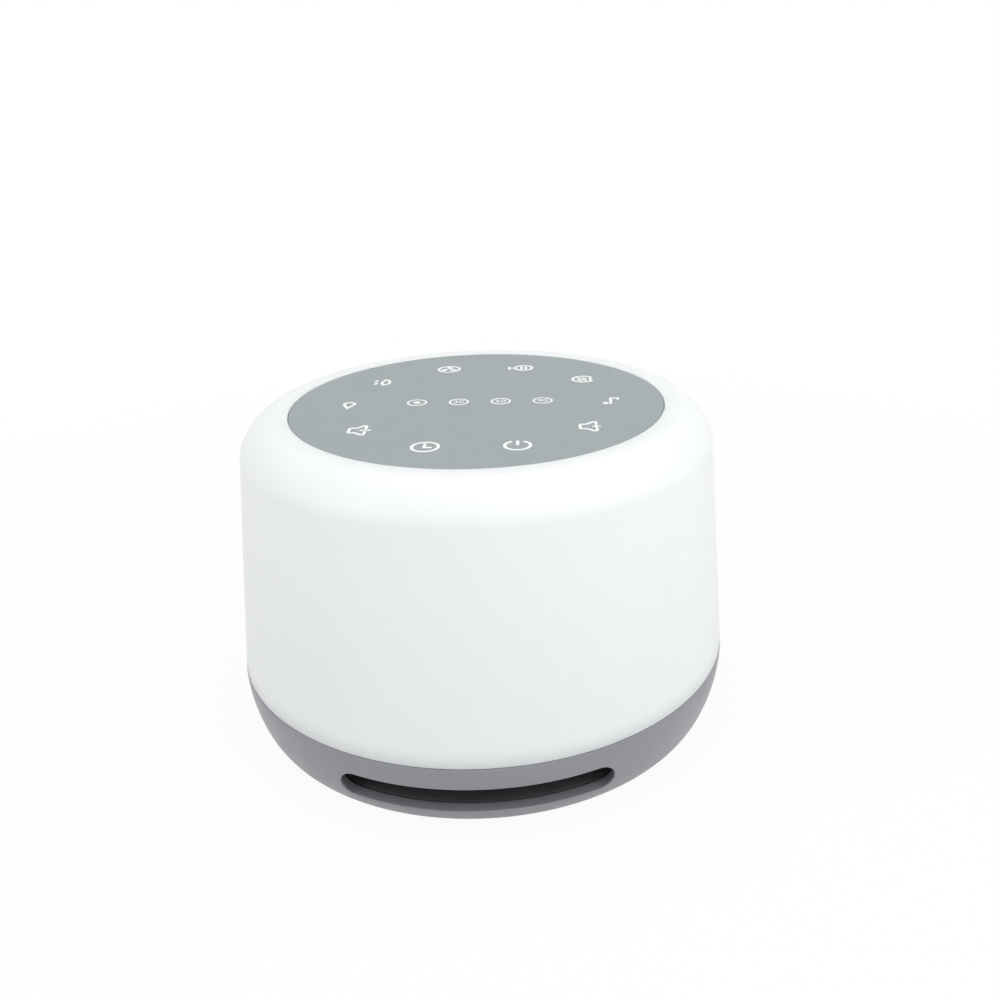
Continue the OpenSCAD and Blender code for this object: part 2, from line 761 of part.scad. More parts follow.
module speaker_surround() {
    rim_out = speaker_r - 0.4;
    lip_in = cone_edge_r - 1.4;
    color("#2a2a2c") on_feet() translate([0, 0, face_z - surround_t]) rotate_extrude() difference() {
        union() {
            translate([roll_mid_r, 0]) circle(r = roll_r);
            translate([lip_in, 0]) square([rim_out - lip_in, surround_t]);
        }
        translate([roll_mid_r, 0]) circle(r = roll_r - surround_t);
        translate([0, -3 * roll_r]) square([2 * speaker_r, 3 * roll_r]);
    }
}

module speaker_frame() {
    h = basket_h;
    color("#6d7074") on_feet() translate([0, 0, face_z]) difference() {
        union() {
            rotate_extrude() polygon([
                [flange_in_r, 0], [speaker_r, 0], [speaker_r, frame_t],
                [flange_in_r + 1.3 * frame_t, frame_t],
                [ledge_out_r + 1.3 * frame_t, h - 1.4], [ledge_in_r + 1.3 * frame_t, h - 1.4],
                [seat_r + 1.2 * frame_t, h + frame_t], [bore_r + 1.2, h + frame_t],
                [bore_r + 1.2, h], [seat_r, h], [ledge_in_r, h - 2.4], [ledge_out_r, h - 2.4],
                [flange_in_r, frame_t]
            ]);
            difference() {
                for (a = ear_angles) rotate([0, 0, a]) {
                    translate([ear_ring_r, 0, 0]) cylinder(h = frame_t, r = ear_r);
                    translate([flange_in_r + 1, -ear_r, 0])
                        cube([ear_ring_r - flange_in_r - 1, 2 * ear_r, frame_t]);
                }
                translate([0, 0, -cut]) cylinder(h = 4 * cut, r = flange_in_r + 0.5);
            }
        }
        for (a = ear_angles) rotate([0, 0, a]) {
            translate([ear_ring_r, 0, -cut])
                cylinder(h = frame_t + 2 * cut, r = small_screw_r + screw_clear);
            rotate([0, 0, -28]) rotate_extrude(angle = 56) polygon([
                [ledge_out_r + 2.6, frame_t + 0.6], [2 * speaker_r, frame_t + 0.6],
                [2 * speaker_r, h - 3.2], [ledge_out_r - 0.6, h - 3.2], [ledge_out_r - 0.6, frame_t + 0.6]
            ]);
        }
    }
}

module speaker_cone() {
    color("#3b3c3f") on_feet() translate([0, 0, face_z]) rotate_extrude() polygon([
        [cone_edge_r - 1.5, glue_gap], [cone_edge_r, glue_gap], [cone_edge_r, glue_gap + cone_t],
        [cone_edge_r - 1.2, glue_gap + cone_t], [neck_r + cone_t, cone_h],
        [neck_r + cone_t, cone_h + 0.7], [neck_r, cone_h + 0.7], [neck_r, cone_h - 0.4]
    ]);
}

// Height of the cone's front face at a radius
function cone_front_z(r) =
    glue_gap + (cone_h - 0.4 - glue_gap) * (cone_edge_r - 1.5 - r) / (cone_edge_r - 1.5 - neck_r);

module dust_cap() {
    cap_r = neck_r + 0.5;
    cap_t = 0.4;
    cap_h = 2.2;
    steps = 8;
    z = cone_front_z(cap_r) - glue_gap - cap_t;
    color("#323336") on_feet() translate([0, 0, face_z + z]) rotate_extrude() polygon(concat(
        [for (i = [0:steps]) let (a = 90 * i / steps) [cap_r * cos(a), -cap_h * sin(a)]],
        [for (i = [steps:-1:0]) let (a = 90 * i / steps)
            [(cap_r - cap_t) * cos(a), cap_t - cap_h * sin(a)]],
        [[cap_r, cap_t]]
    ));
}

module voice_coil() {
    former_t = coil_t / 2;
    former_in = coil_r - coil_t;
    bottom = cone_h - 0.1;
    top = basket_h + frame_t + plate_t + 0.8;
    winding_low = basket_h + frame_t - 0.6;
    color("#b5763a") on_feet() translate([0, 0, face_z]) rotate_extrude() polygon([
        [former_in, bottom], [former_in + former_t, bottom], [former_in + former_t, winding_low],
        [coil_r, winding_low], [coil_r, top - 0.2], [former_in + former_t, top - 0.2],
        [former_in + former_t, top], [former_in, top]
    ]);
}

module speaker_spider() {
    in_r = coil_r + 0.05;
    out_r = ledge_out_r - 0.2;
    flat = 1.4;
    waves = 3;
    steps = 24;
    amp = 0.35;
    t = 0.3;
    run = out_r - in_r - 2 * flat;
    line = [for (i = [0:steps]) [in_r + flat + run * i / steps, amp * sin(360 * waves * i / steps)]];
    color("#c9a552") on_feet() translate([0, 0, spider_z - t]) rotate_extrude() polygon(concat(
        [[in_r, 0]],
        line,
        [[out_r, 0], [out_r, t]],
        [for (i = [steps:-1:0]) line[i] + [0, t]],
        [[in_r, t]]
    ));
}

module speaker_front_plate() {
    color("#9da0a4") on_feet() translate([0, 0, front_plate_z]) ring(seat_r + 0.8, bore_r, plate_t);
}

module speaker_magnet() {
    color("#3f4144") on_feet() translate([0, 0, magnet_z]) ring(magnet_r, bore_r + 1.4, magnet_t);
}

module speaker_yoke() {
    bevel = 0.6;
    color("#a5a8ac") on_feet() rotate_extrude() polygon([
        [0, front_plate_z], [pole_r, front_plate_z], [pole_r, yoke_z], [magnet_r - 0.6, yoke_z],
        [magnet_r - 0.6, speaker_top - bevel], [magnet_r - 0.6 - bevel, speaker_top], [0, speaker_top]
    ]);
}

module speaker_terminal() {
    w = 9;
    h = 4.6;
    color("#a5763f") on_feet() translate([-w / 2, terminal_y, face_z + frame_t]) cube([w, terminal_t, h]);
}

module speaker_screws() {
    color("#b9bcc0") on_feet() for (a = ear_angles) rotate([0, 0, a])
        translate([ear_ring_r, 0, face_z + frame_t]) mirror([0, 0, 1])
            screw(small_screw_r, face_z + frame_t - deck_z - 0.4);
}

// ---- Speaker chamber ----

module speaker_chamber() {
    edge = 2.4;
    color("#ecedee") on_feet() difference() {
        union() {
            rotate_extrude() polygon(concat(
                [[0, deck_top], [chamber_out_r, deck_top]],
                [for (i = [0:edge_steps]) let (a = 90 * i / edge_steps)
                    [chamber_out_r - edge + edge * cos(a), chamber_top - edge + edge * sin(a)]],
                [[0, chamber_top]]
            ));
            for (a = chamber_angles) rotate([0, 0, a]) {
                translate([chamber_ear_ring, 0, deck_top]) cylinder(h = chamber_foot_t, r = chamber_ear_r);
                translate([chamber_r + chamber_wall / 2, -chamber_ear_r, deck_top])
                    cube([chamber_ear_ring - chamber_r - chamber_wall / 2, 2 * chamber_ear_r, chamber_foot_t]);
            }
        }
        translate([0, 0, deck_top - cut])
            cylinder(h = chamber_top - chamber_wall - deck_top + cut, r = chamber_r);
        for (a = chamber_angles) rotate([0, 0, a]) translate([chamber_ear_ring, 0, deck_top - cut])
            cylinder(h = chamber_foot_t + 2 * cut, r = small_screw_r + screw_clear);
    }
}

module chamber_screws() {
    color("#b9bcc0") on_feet() for (a = chamber_angles) rotate([0, 0, a])
        translate([chamber_ear_ring, 0, deck_top + chamber_foot_t]) mirror([0, 0, 1])
            screw(small_screw_r, chamber_foot_t + deck_t - 0.3);
}

// ---- Night light ----

// Break in the ring of the lamp board, where the flat lead passes
module rear_gap(z0, z1) {
    translate([-rear_gap_w / 2, 0, z0]) cube([rear_gap_w, lamp_out_r + cut, z1 - z0]);
}

module lamp_board() {
    color("#e7e9ea") on_feet() difference() {
        translate([0, 0, lamp_z]) ring(lamp_out_r, lamp_in_r, lamp_board_t);
        rear_gap(lamp_z - cut, lamp_top + cut);
        for (a = lamp_angles) rotate([0, 0, a]) translate([lamp_post_ring, 0, lamp_z - cut])
            cylinder(h = lamp_board_t + 2 * cut, r = small_screw_r + screw_clear);
    }
}

module lamps() {
    color("#f3e9a8") on_feet() for (i = [0:lamp_count - 1]) rotate([0, 0, (i + 0.5) * 360 / lamp_count])
        translate([lamp_ring_r - lamp_size[1] / 2, -lamp_size[0] / 2, lamp_top])
            cube([lamp_size[1], lamp_size[0], lamp_size[2]]);
}

module lamp_screws() {
    color("#b9bcc0") on_feet() for (a = lamp_angles) rotate([0, 0, a])
        translate([lamp_post_ring, 0, lamp_top]) mirror([0, 0, 1])
            screw(small_screw_r, lamp_board_t + lamp_lift - 0.6);
}

module reflector() {
    window = 0.5;
    z = lamp_top;
    color("#f4f5f5") on_feet() difference() {
        rotate_extrude() polygon([
            [lamp_in_r, z], [lamp_out_r, z], [reflector_out_r, z + reflector_rise],
            [reflector_out_r, z + reflector_rise + reflector_t],
            [lamp_out_r, z + reflector_t], [lamp_in_r, z + reflector_t]
        ]);
        rear_gap(z - cut, z + reflector_t + cut);
        for (i = [0:lamp_count - 1]) rotate([0, 0, (i + 0.5) * 360 / lamp_count])
            translate([lamp_ring_r, 0, z]) cube([
                lamp_size[1] + 2 * window, lamp_size[0] + 2 * window, 4 * reflector_t
            ], center = true);
        for (a = lamp_angles) rotate([0, 0, a]) translate([lamp_post_ring, 0, z - cut])
            cylinder(h = 3 * cut, r = head_ratio * small_screw_r + window);
        for (p = screw_spots) translate([p[0], p[1], z - cut]) {
            cylinder(h = 3 * reflector_rise, r = post_r + window);
            rotate([0, 0, atan2(p[1], p[0])]) translate([0, -web_t / 2 - window, 0])
                cube([wide_r, web_t + 2 * window, 3 * reflector_rise]);
        }
    }
}

// ---- Drum ----

drum_low_r = body_r(seam_z);

module drum_shell() {
    edge = [for (i = [0:edge_steps]) let (a = 90 * i / edge_steps)
        [drum_low_r - drum_edge + drum_edge * sin(a), seam_z + drum_edge - drum_edge * cos(a)]];
    inner_steps = 6;
    rotate_extrude() polygon(concat(
        edge,
        shoulder_curve,
        [
            [panel_r + panel_clear, body_h], [panel_r + panel_clear, ledge_top],
            [ledge_r, ledge_top], [ledge_r, ledge_low]
        ],
        [for (i = [inner_steps:-1:0]) let (z = shoulder_z + (ledge_low - shoulder_z) * i / inner_steps)
            [body_r(z) - drum_wall, z]],
        [[drum_low_r - drum_wall, seam_z]]
    ));
}

// A post for a base screw, with the web that ties it to the drum wall
module drum_post(x, y) {
    web_low = seam_z + lip_h + 0.3;
    translate([x, y, deck_top]) cylinder(h = post_h, r = post_r);
    rotate([0, 0, atan2(y, x)]) translate([norm([x, y]), -web_t / 2, web_low])
        cube([drum_low_r - drum_wall / 2 - norm([x, y]), web_t, deck_top + post_h - web_low]);
}

module diffuser_drum() {
    color("#f7f8f8") on_feet() difference() {
        union() {
            drum_shell();
            for (p = screw_spots) drum_post(p[0], p[1]);
            for (a = boss_angles) rotate([0, 0, a]) translate([boss_ring_r, 0, carrier_top])
                cylinder(h = boss_h + ledge_t / 2, r = boss_r);
        }
        for (p = screw_spots) translate([p[0], p[1], deck_top - cut])
            cylinder(h = post_h - post_roof + cut, r = base_screw_r + screw_clear);
        for (a = boss_angles) rotate([0, 0, a]) translate([boss_ring_r, 0, carrier_top - cut])
            cylinder(h = boss_h + cut, r = small_screw_r + screw_clear);
    }
}

module touch_panel() {
    color("#aab2b4") on_feet() rotate_extrude() polygon([
        [0, panel_low], [panel_r, panel_low], [panel_r, panel_top - panel_chamfer],
        [panel_r - panel_chamfer, panel_top], [0, panel_top]
    ]);
}

module panel_tape() {
    tape_out_r = panel_r - 0.4;
    color("#d9d9d4") on_feet() translate([0, 0, ledge_top]) ring(tape_out_r, tape_out_r - tape_w, tape_t);
}

module light_mask() {
    color("#1b1c1e") on_feet() translate([0, 0, mask_low]) difference() {
        cylinder(h = mask_t, r = mask_r);
        for (p = sign_spots) translate([p[0], p[1], -cut]) cylinder(h = mask_t + 2 * cut, r = sign_hole_r);
        for (p = mark_spots) translate([p[0], p[1], -cut]) cylinder(h = mask_t + 2 * cut, r = mark_hole_r);
    }
}

module touch_board() {
    color("#1f6b3f") on_feet() translate([0, 0, touch_board_low]) cylinder(h = touch_board_t, r = mask_r);
}

module sign_lamps() {
    color("#f3efd8") on_feet() for (p = concat(sign_spots, mark_spots))
        translate([p[0] - sign_lamp[0] / 2, p[1] - sign_lamp[1] / 2, mask_low]) cube(sign_lamp);
}

module touch_chips() {
    color("#202124") on_feet() translate([0, 0, touch_board_low]) mirror([0, 0, 1]) {
        translate(touch_chip_at) chip(touch_chip, 7);
        translate(lamp_chip_at) chip(lamp_chip, 4);
        translate([0, touch_plug_y, 0]) plug_body(ribbon_w);
    }
}

module panel_carrier() {
    ear = 3.2;
    color("#eceded") on_feet() difference() {
        union() {
            translate([0, 0, carrier_low]) cylinder(h = carrier_t, r = carrier_rib_r + 1);
            translate([0, 0, carrier_top - eps])
                ring(carrier_rib_r, carrier_rib_r - carrier_rib_t, touch_board_low - carrier_top + eps);
            for (a = boss_angles) rotate([0, 0, a]) {
                translate([boss_ring_r, 0, carrier_low]) cylinder(h = carrier_t, r = ear);
                translate([carrier_rib_r - 2, -ear, carrier_low])
                    cube([boss_ring_r - carrier_rib_r + 2, 2 * ear, carrier_t]);
            }
        }
        translate([0, 0, carrier_low - cut]) cylinder(h = carrier_t + 2 * cut, r = carrier_hole_r);
        translate([0, touch_plug_y, carrier_low])
            cube([rear_gap_w, plug_d + 2 * plug_room, 3 * carrier_t], center = true);
        for (a = boss_angles) rotate([0, 0, a]) translate([boss_ring_r, 0, carrier_low - cut])
            cylinder(h = carrier_t + 2 * cut, r = small_screw_r + screw_clear);
    }
}

module carrier_screws() {
    color("#b9bcc0") on_feet() for (a = boss_angles) rotate([0, 0, a])
        translate([boss_ring_r, 0, carrier_low]) screw(small_screw_r, carrier_t + boss_h - 1.4);
}

// ---- Leads ----

// An S-shaped way down from one height and distance to another, between two straight ends
ribbon_start = [touch_plug_y, touch_board_low - plug_h];
ribbon_end = [ribbon_y, board_top + plug_h];
ribbon_over = 1;
ribbon_drop = 13;
ribbon_bend = [chamber_top + ribbon_over + ribbon_drop, chamber_top + ribbon_over];
ribbon_path = concat(
    [ribbon_start],
    [for (i = [0:16]) let (s = i / 16) [
        ribbon_start[0] + (ribbon_end[0] - ribbon_start[0]) * (1 - cos(180 * s)) / 2,
        ribbon_bend[0] + (ribbon_bend[1] - ribbon_bend[0]) * s
    ]],
    [ribbon_end]
);

module panel_ribbon() {
    color("#d8d4c8") on_feet() flat_lead(ribbon_path, ribbon_w, ribbon_t);
}

// The speaker's lead leaves its terminal level and turns down through the deck
lead_turn = 2;
speaker_lead_z = face_z + frame_t + 3;
speaker_lead_path = concat(
    [[terminal_y + terminal_t, speaker_lead_z]],
    [for (i = [0:6]) let (a = 90 * i / 6)
        [speaker_lead_y - lead_turn + lead_turn * sin(a), speaker_lead_z - lead_turn + lead_turn * cos(a)]],
    [[speaker_lead_y, board_top + plug_h]]
);

module speaker_lead() {
    color("#a33a34") on_feet() flat_lead(speaker_lead_path, twin_w, twin_t);
}

module lamp_lead() {
    color("#c9c9c4") on_feet() translate([lamp_lead_x, 0, 0])
        flat_lead([[lamp_lead_y, lamp_z], [lamp_lead_y, board_top + plug_h]], twin_w, twin_t);
}

base_housing();
rubber_feet();
base_screws();
sound_duct();
speaker_deck();
main_board();
board_screws();
board_chips();
board_capacitors();
board_connectors();
power_inlet();
inlet_tongue();
speaker_gasket();
speaker_surround();
speaker_frame();
speaker_cone();
dust_cap();
voice_coil();
speaker_spider();
speaker_front_plate();
speaker_magnet();
speaker_yoke();
speaker_terminal();
speaker_screws();
speaker_chamber();
chamber_screws();
lamp_board();
lamps();
lamp_screws();
reflector();
diffuser_drum();
touch_panel();
panel_tape();
light_mask();
touch_board();
sign_lamps();
touch_chips();
panel_carrier();
carrier_screws();
panel_ribbon();
speaker_lead();
lamp_lead();
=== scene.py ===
"""Looks of the white noise sound machine: its finishes, smooth shells, signs, light and camera."""

import math

import bmesh
import bpy
from mathutils import Matrix, Vector


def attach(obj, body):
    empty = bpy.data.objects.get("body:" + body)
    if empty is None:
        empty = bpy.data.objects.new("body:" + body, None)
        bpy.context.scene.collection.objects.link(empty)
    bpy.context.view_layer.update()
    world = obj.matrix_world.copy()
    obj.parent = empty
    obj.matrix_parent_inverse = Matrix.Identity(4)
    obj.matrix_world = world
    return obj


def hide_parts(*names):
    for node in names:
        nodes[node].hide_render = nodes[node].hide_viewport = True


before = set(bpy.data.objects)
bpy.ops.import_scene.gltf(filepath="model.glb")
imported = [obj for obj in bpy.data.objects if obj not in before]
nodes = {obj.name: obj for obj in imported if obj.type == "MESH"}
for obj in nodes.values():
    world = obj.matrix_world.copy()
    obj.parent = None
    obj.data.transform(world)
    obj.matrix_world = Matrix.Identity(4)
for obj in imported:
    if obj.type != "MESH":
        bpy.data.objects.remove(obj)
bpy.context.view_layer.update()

# ---- Sizes in millimetres. Heights start at the base's underside, which its feet lift by FOOT_H ----

MM = 0.001
CUT_OVER = 1
FOOT_H = 0.8
BODY_H = 70
WIDE_R = 55.3
WIDE_Z = 13.5
UNDER_R = 50.3
BASE_ROUND = 1.57
SHOULDER_R = 52.7
SHOULDER_Z = BODY_H - 7.6
SHOULDER_ROUND = 1.64
RIM_R = 45.3

SEAM_Z = 14.5
BASE_TOP = SEAM_Z - 0.06
BASE_EDGE = 0.15
DRUM_WALL = 2.4
DRUM_EDGE = 0.25
BASE_WALL = 2.6
FLOOR_T = 2.4
LIP_T = 1.4
LIP_TOP = SEAM_Z + 3
LIP_FOOT = SEAM_Z - 3
LIP_CLEAR = 0.15
LIP_ROUND = 0.3

SLOT_W = 54.2
SLOT_H = 6.1
SLOT_Z = 6.5
SLOT_FLARE = 0.5
SLOT_MARGIN = 1.0
SLOT_SILL = 0.3

PANEL_R = 42
PANEL_TOP = BODY_H - 0.1
PANEL_CLEAR = 0.06
LEDGE_TOP = PANEL_TOP - 1.7
LEDGE_LOW = LEDGE_TOP - 2.2
LEDGE_R = PANEL_R - 4.4
RIM_EDGE = 0.15

DECK_TOP = 13.6
POST_R = 3.2
POST_TOP = DECK_TOP + 12.4
POST_ROOF = 2
WEB_T = 1.6
WEB_INSET = 0.3
PILLAR_R = 4
PILLAR_TOP = 11.6
SCREW_RING_R = 44.4
SCREW_ANGLE = 40
SCREW_R = 1.5
SCREW_LENGTH = 14
SCREW_HEAD_R = 1.85 * SCREW_R
SCREW_HEAD_H = 1.3 * SCREW_R
SCREW_HEAD_Z = POST_TOP - 19
SCREW_CLEAR = 0.1
HEAD_CLEAR = 0.2
THREAD_PITCH = 0.6
CROSS_DEPTH = 0.9
SMALL_BORE = 1.2
BOSS_R = 3
BOSS_RING_R = 42.2
BOSS_LOW = LEDGE_LOW - 6
BOSS_SINK = 1.1

FOOT_R = 6
FOOT_IN = 0.8
FOOT_CLEAR = 0.1
FOOT_EDGE = 0.35
FOOT_DISH = 0.12
FOOT_RING_R = 40
FOOT_COUNT = 4

INLET_Y = 49.5
INLET_Z = 6.8
INLET_WALL = 1.6
POCKET = (13.2, 7)
WINDOW = (9.44, 3.7)
BOARD_TOP_Z = 4.0
BOARD_POST_R = 2.2
BOARD_SPOTS = [(-17, 43.6), (17, 43.6), (-17, 29.5)]

TURN_COLUMNS = 256
SIGN_T = 0.04
SIGN_LINE = 0.66
SIGN_RING_R = 30
PRINT_CENTRE = (0.45, -0.75)
PRINT_TURN = -0.8
MARK_PITCH = 9.5
MARK_Y = 1.05
MARK_R = 2.07
MARK_LINE = 0.46
MARK_DOT_R = 0.8
MARK_TEXT = 2.5


# ---- Outline of the body ----

def body_r(z):
    """Radius of the outer skin at a height."""
    if z < WIDE_Z:
        t = math.acos(((WIDE_Z - z) / WIDE_Z) ** (BASE_ROUND / 2))
        return UNDER_R + (WIDE_R - UNDER_R) * math.sin(t) ** (2 / BASE_ROUND)
    if z < SHOULDER_Z:
        return WIDE_R + (SHOULDER_R - WIDE_R) * (z - WIDE_Z) / (SHOULDER_Z - WIDE_Z)
    t = math.asin(min(1, (z - SHOULDER_Z) / (BODY_H - SHOULDER_Z)) ** (SHOULDER_ROUND / 2))
    return RIM_R + (SHOULDER_R - RIM_R) * math.cos(t) ** (2 / SHOULDER_ROUND)


def shoulder_curve(steps):
    """Points of the drum's shoulder, from the wall to the flat rim."""
    angles = [math.pi / 2 * i / steps for i in range(steps + 1)]
    return [(RIM_R + (SHOULDER_R - RIM_R) * max(0, math.cos(t)) ** (2 / SHOULDER_ROUND),
             SHOULDER_Z + (BODY_H - SHOULDER_Z) * math.sin(t) ** (2 / SHOULDER_ROUND)) for t in angles]


def arc(cx, cy, r, start, end, steps):
    """Points of an arc, its angles in degrees."""
    angles = [math.radians(start + (end - start) * i / steps) for i in range(steps + 1)]
    return [(cx + r * math.cos(a), cy + r * math.sin(a)) for a in angles]


LIP_R = body_r(LIP_TOP) - DRUM_WALL - LIP_CLEAR
LIP_IN_R = LIP_R - LIP_T
SLOPE_Z = LIP_FOOT - LIP_T
SLOT_REACH = (SLOT_W - SLOT_H) / 2
SLOT_ANGLE = math.asin(SLOT_REACH / body_r(SLOT_Z))
SCREW_SPOTS = [(sx * SCREW_RING_R * math.cos(math.radians(SCREW_ANGLE)),
                sy * SCREW_RING_R * math.sin(math.radians(SCREW_ANGLE))) for sx in (-1, 1) for sy in (-1, 1)]
BOSS_SPOTS = [(BOSS_RING_R * math.cos(math.radians(a)), BOSS_RING_R * math.sin(math.radians(a)))
              for a in (45, 135, 225, 315)]


# ---- Making meshes ----

SMOOTH_ANGLE = math.radians(35)
POINT_WELD = 1e-7
CARVE_WELD = 1e-6


def shade(mesh):
    """Smooth shading up to an angle, with sharp edges past it."""
    mesh.shade_smooth()
    mesh.set_sharp_from_angle(angle=SMOOTH_ANGLE)


def as_piece(name, points, faces, material=None):
    """A mesh object from points in millimetres, their heights measured from the base's underside."""
    mesh = bpy.data.meshes.new(name)
    mesh.from_pydata([(x * MM, y * MM, (z + FOOT_H) * MM) for x, y, z in points], [], faces)
    tidy = bmesh.new()
    tidy.from_mesh(mesh)
    bmesh.ops.remove_doubles(tidy, verts=tidy.verts, dist=POINT_WELD)
    bmesh.ops.recalc_face_normals(tidy, faces=tidy.faces)
    tidy.to_mesh(mesh)
    tidy.free()
    shade(mesh)
    piece = bpy.data.objects.new(name, mesh)
    bpy.context.scene.collection.objects.link(piece)
    if material:
        mesh.materials.append(material)
    return piece


def turned(name, profile, material=None, columns=TURN_COLUMNS, centre=(0, 0), closed=False):
    """A profile of radii and heights turned about an upright axis. Points on the axis become poles."""
    points, rows, faces = [], [], []
    for r, z in profile:
        if r == 0:
            rows.append([len(points)] * columns)
            points.append((centre[0], centre[1], z))
            continue
        rows.append(list(range(len(points), len(points) + columns)))
        points += [(centre[0] + r * math.sin(2 * math.pi * j / columns),
                    centre[1] - r * math.cos(2 * math.pi * j / columns), z) for j in range(columns)]
    pairs = list(zip(rows, rows[1:])) + ([(rows[-1], rows[0])] if closed else [])
    for low, high in pairs:
        for j in range(columns):
            k = (j + 1) % columns
            face = list(dict.fromkeys((low[j], low[k], high[k], high[j])))
            if len(face) > 2:
                faces.append(face)
    return as_piece(name, points, faces, material)


def rod(name, r, low, high, centre=(0, 0), columns=48):
    """A plain upright cylinder, to build up or carve a shell."""
    return turned(name, [(0, low), (r, low), (r, high), (0, high)], None, columns, centre)


def bar(name, outline, y0, y1, z):
    """An outline in X and Z pushed along Y, to carve a shell."""
    count = len(outline)
    points = [(x, y, z + h) for y in (y0, y1) for x, h in outline]
    faces = [tuple(range(count)), tuple(range(2 * count - 1, count - 1, -1))]
    faces += [(i, (i + 1) % count, count + (i + 1) % count, count + i) for i in range(count)]
    return as_piece(name, points, faces)


def racetrack(w, h, steps=16):
    """An outline with round ends, its long side level."""
    half = (w - h) / 2
    return arc(half, 0, h / 2, -90, 90, steps) + arc(-half, 0, h / 2, 90, 270, steps)


def together(name, pieces):
    """Joins pieces that don't touch into one object."""
    joined = bmesh.new()
    for piece in pieces:
        joined.from_mesh(piece.data)
        bpy.data.objects.remove(piece)
    mesh = bpy.data.meshes.new(name)
    joined.to_mesh(mesh)
    joined.free()
    result = bpy.data.objects.new(name, mesh)
    bpy.context.scene.collection.objects.link(result)
    return result


def carved(piece, tool, how):
    """Adds a tool to a shell, cuts it away or keeps what they share, and leaves a plain mesh."""
    change = piece.modifiers.new(how, "BOOLEAN")
    change.operation = how
    change.solver = "EXACT"
    change.object = tool
    settle(piece)
    bpy.data.objects.remove(tool)
    piece.data.set_sharp_from_angle(angle=SMOOTH_ANGLE)
    return piece


def settle(piece):
    """Turns what the modifiers make into the piece's own plain mesh."""
    bpy.context.view_layer.update()
    made = bpy.data.meshes.new_from_object(piece.evaluated_get(bpy.context.evaluated_depsgraph_get()))
    made.name = piece.name
    joined = bmesh.new()
    joined.from_mesh(made)
    bmesh.ops.remove_doubles(joined, verts=joined.verts, dist=CARVE_WELD)
    joined.to_mesh(made)
    joined.free()
    piece.modifiers.clear()
    piece.data = made


def place(piece, body, slot, *stands_for):
    """Gives a finished piece its body and hides the nodes that it stands for. The slot is not used."""
    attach(piece, body)
    if stands_for:
        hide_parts(*stands_for)
    return piece


# ---- Finishes ----

def paint(*levels):
    """A colour given as three levels from 0 to 255, as the shader wants it."""
    shares = [level / 255 for level in levels]
    return tuple(c / 12.92 if c < 0.04 else ((c + 0.055) / 1.055) ** 2.4 for c in shares)


WAVE_TURNS = 20
RANGE_SOCKETS = ("From Min", "From Max", "To Min", "To Max")


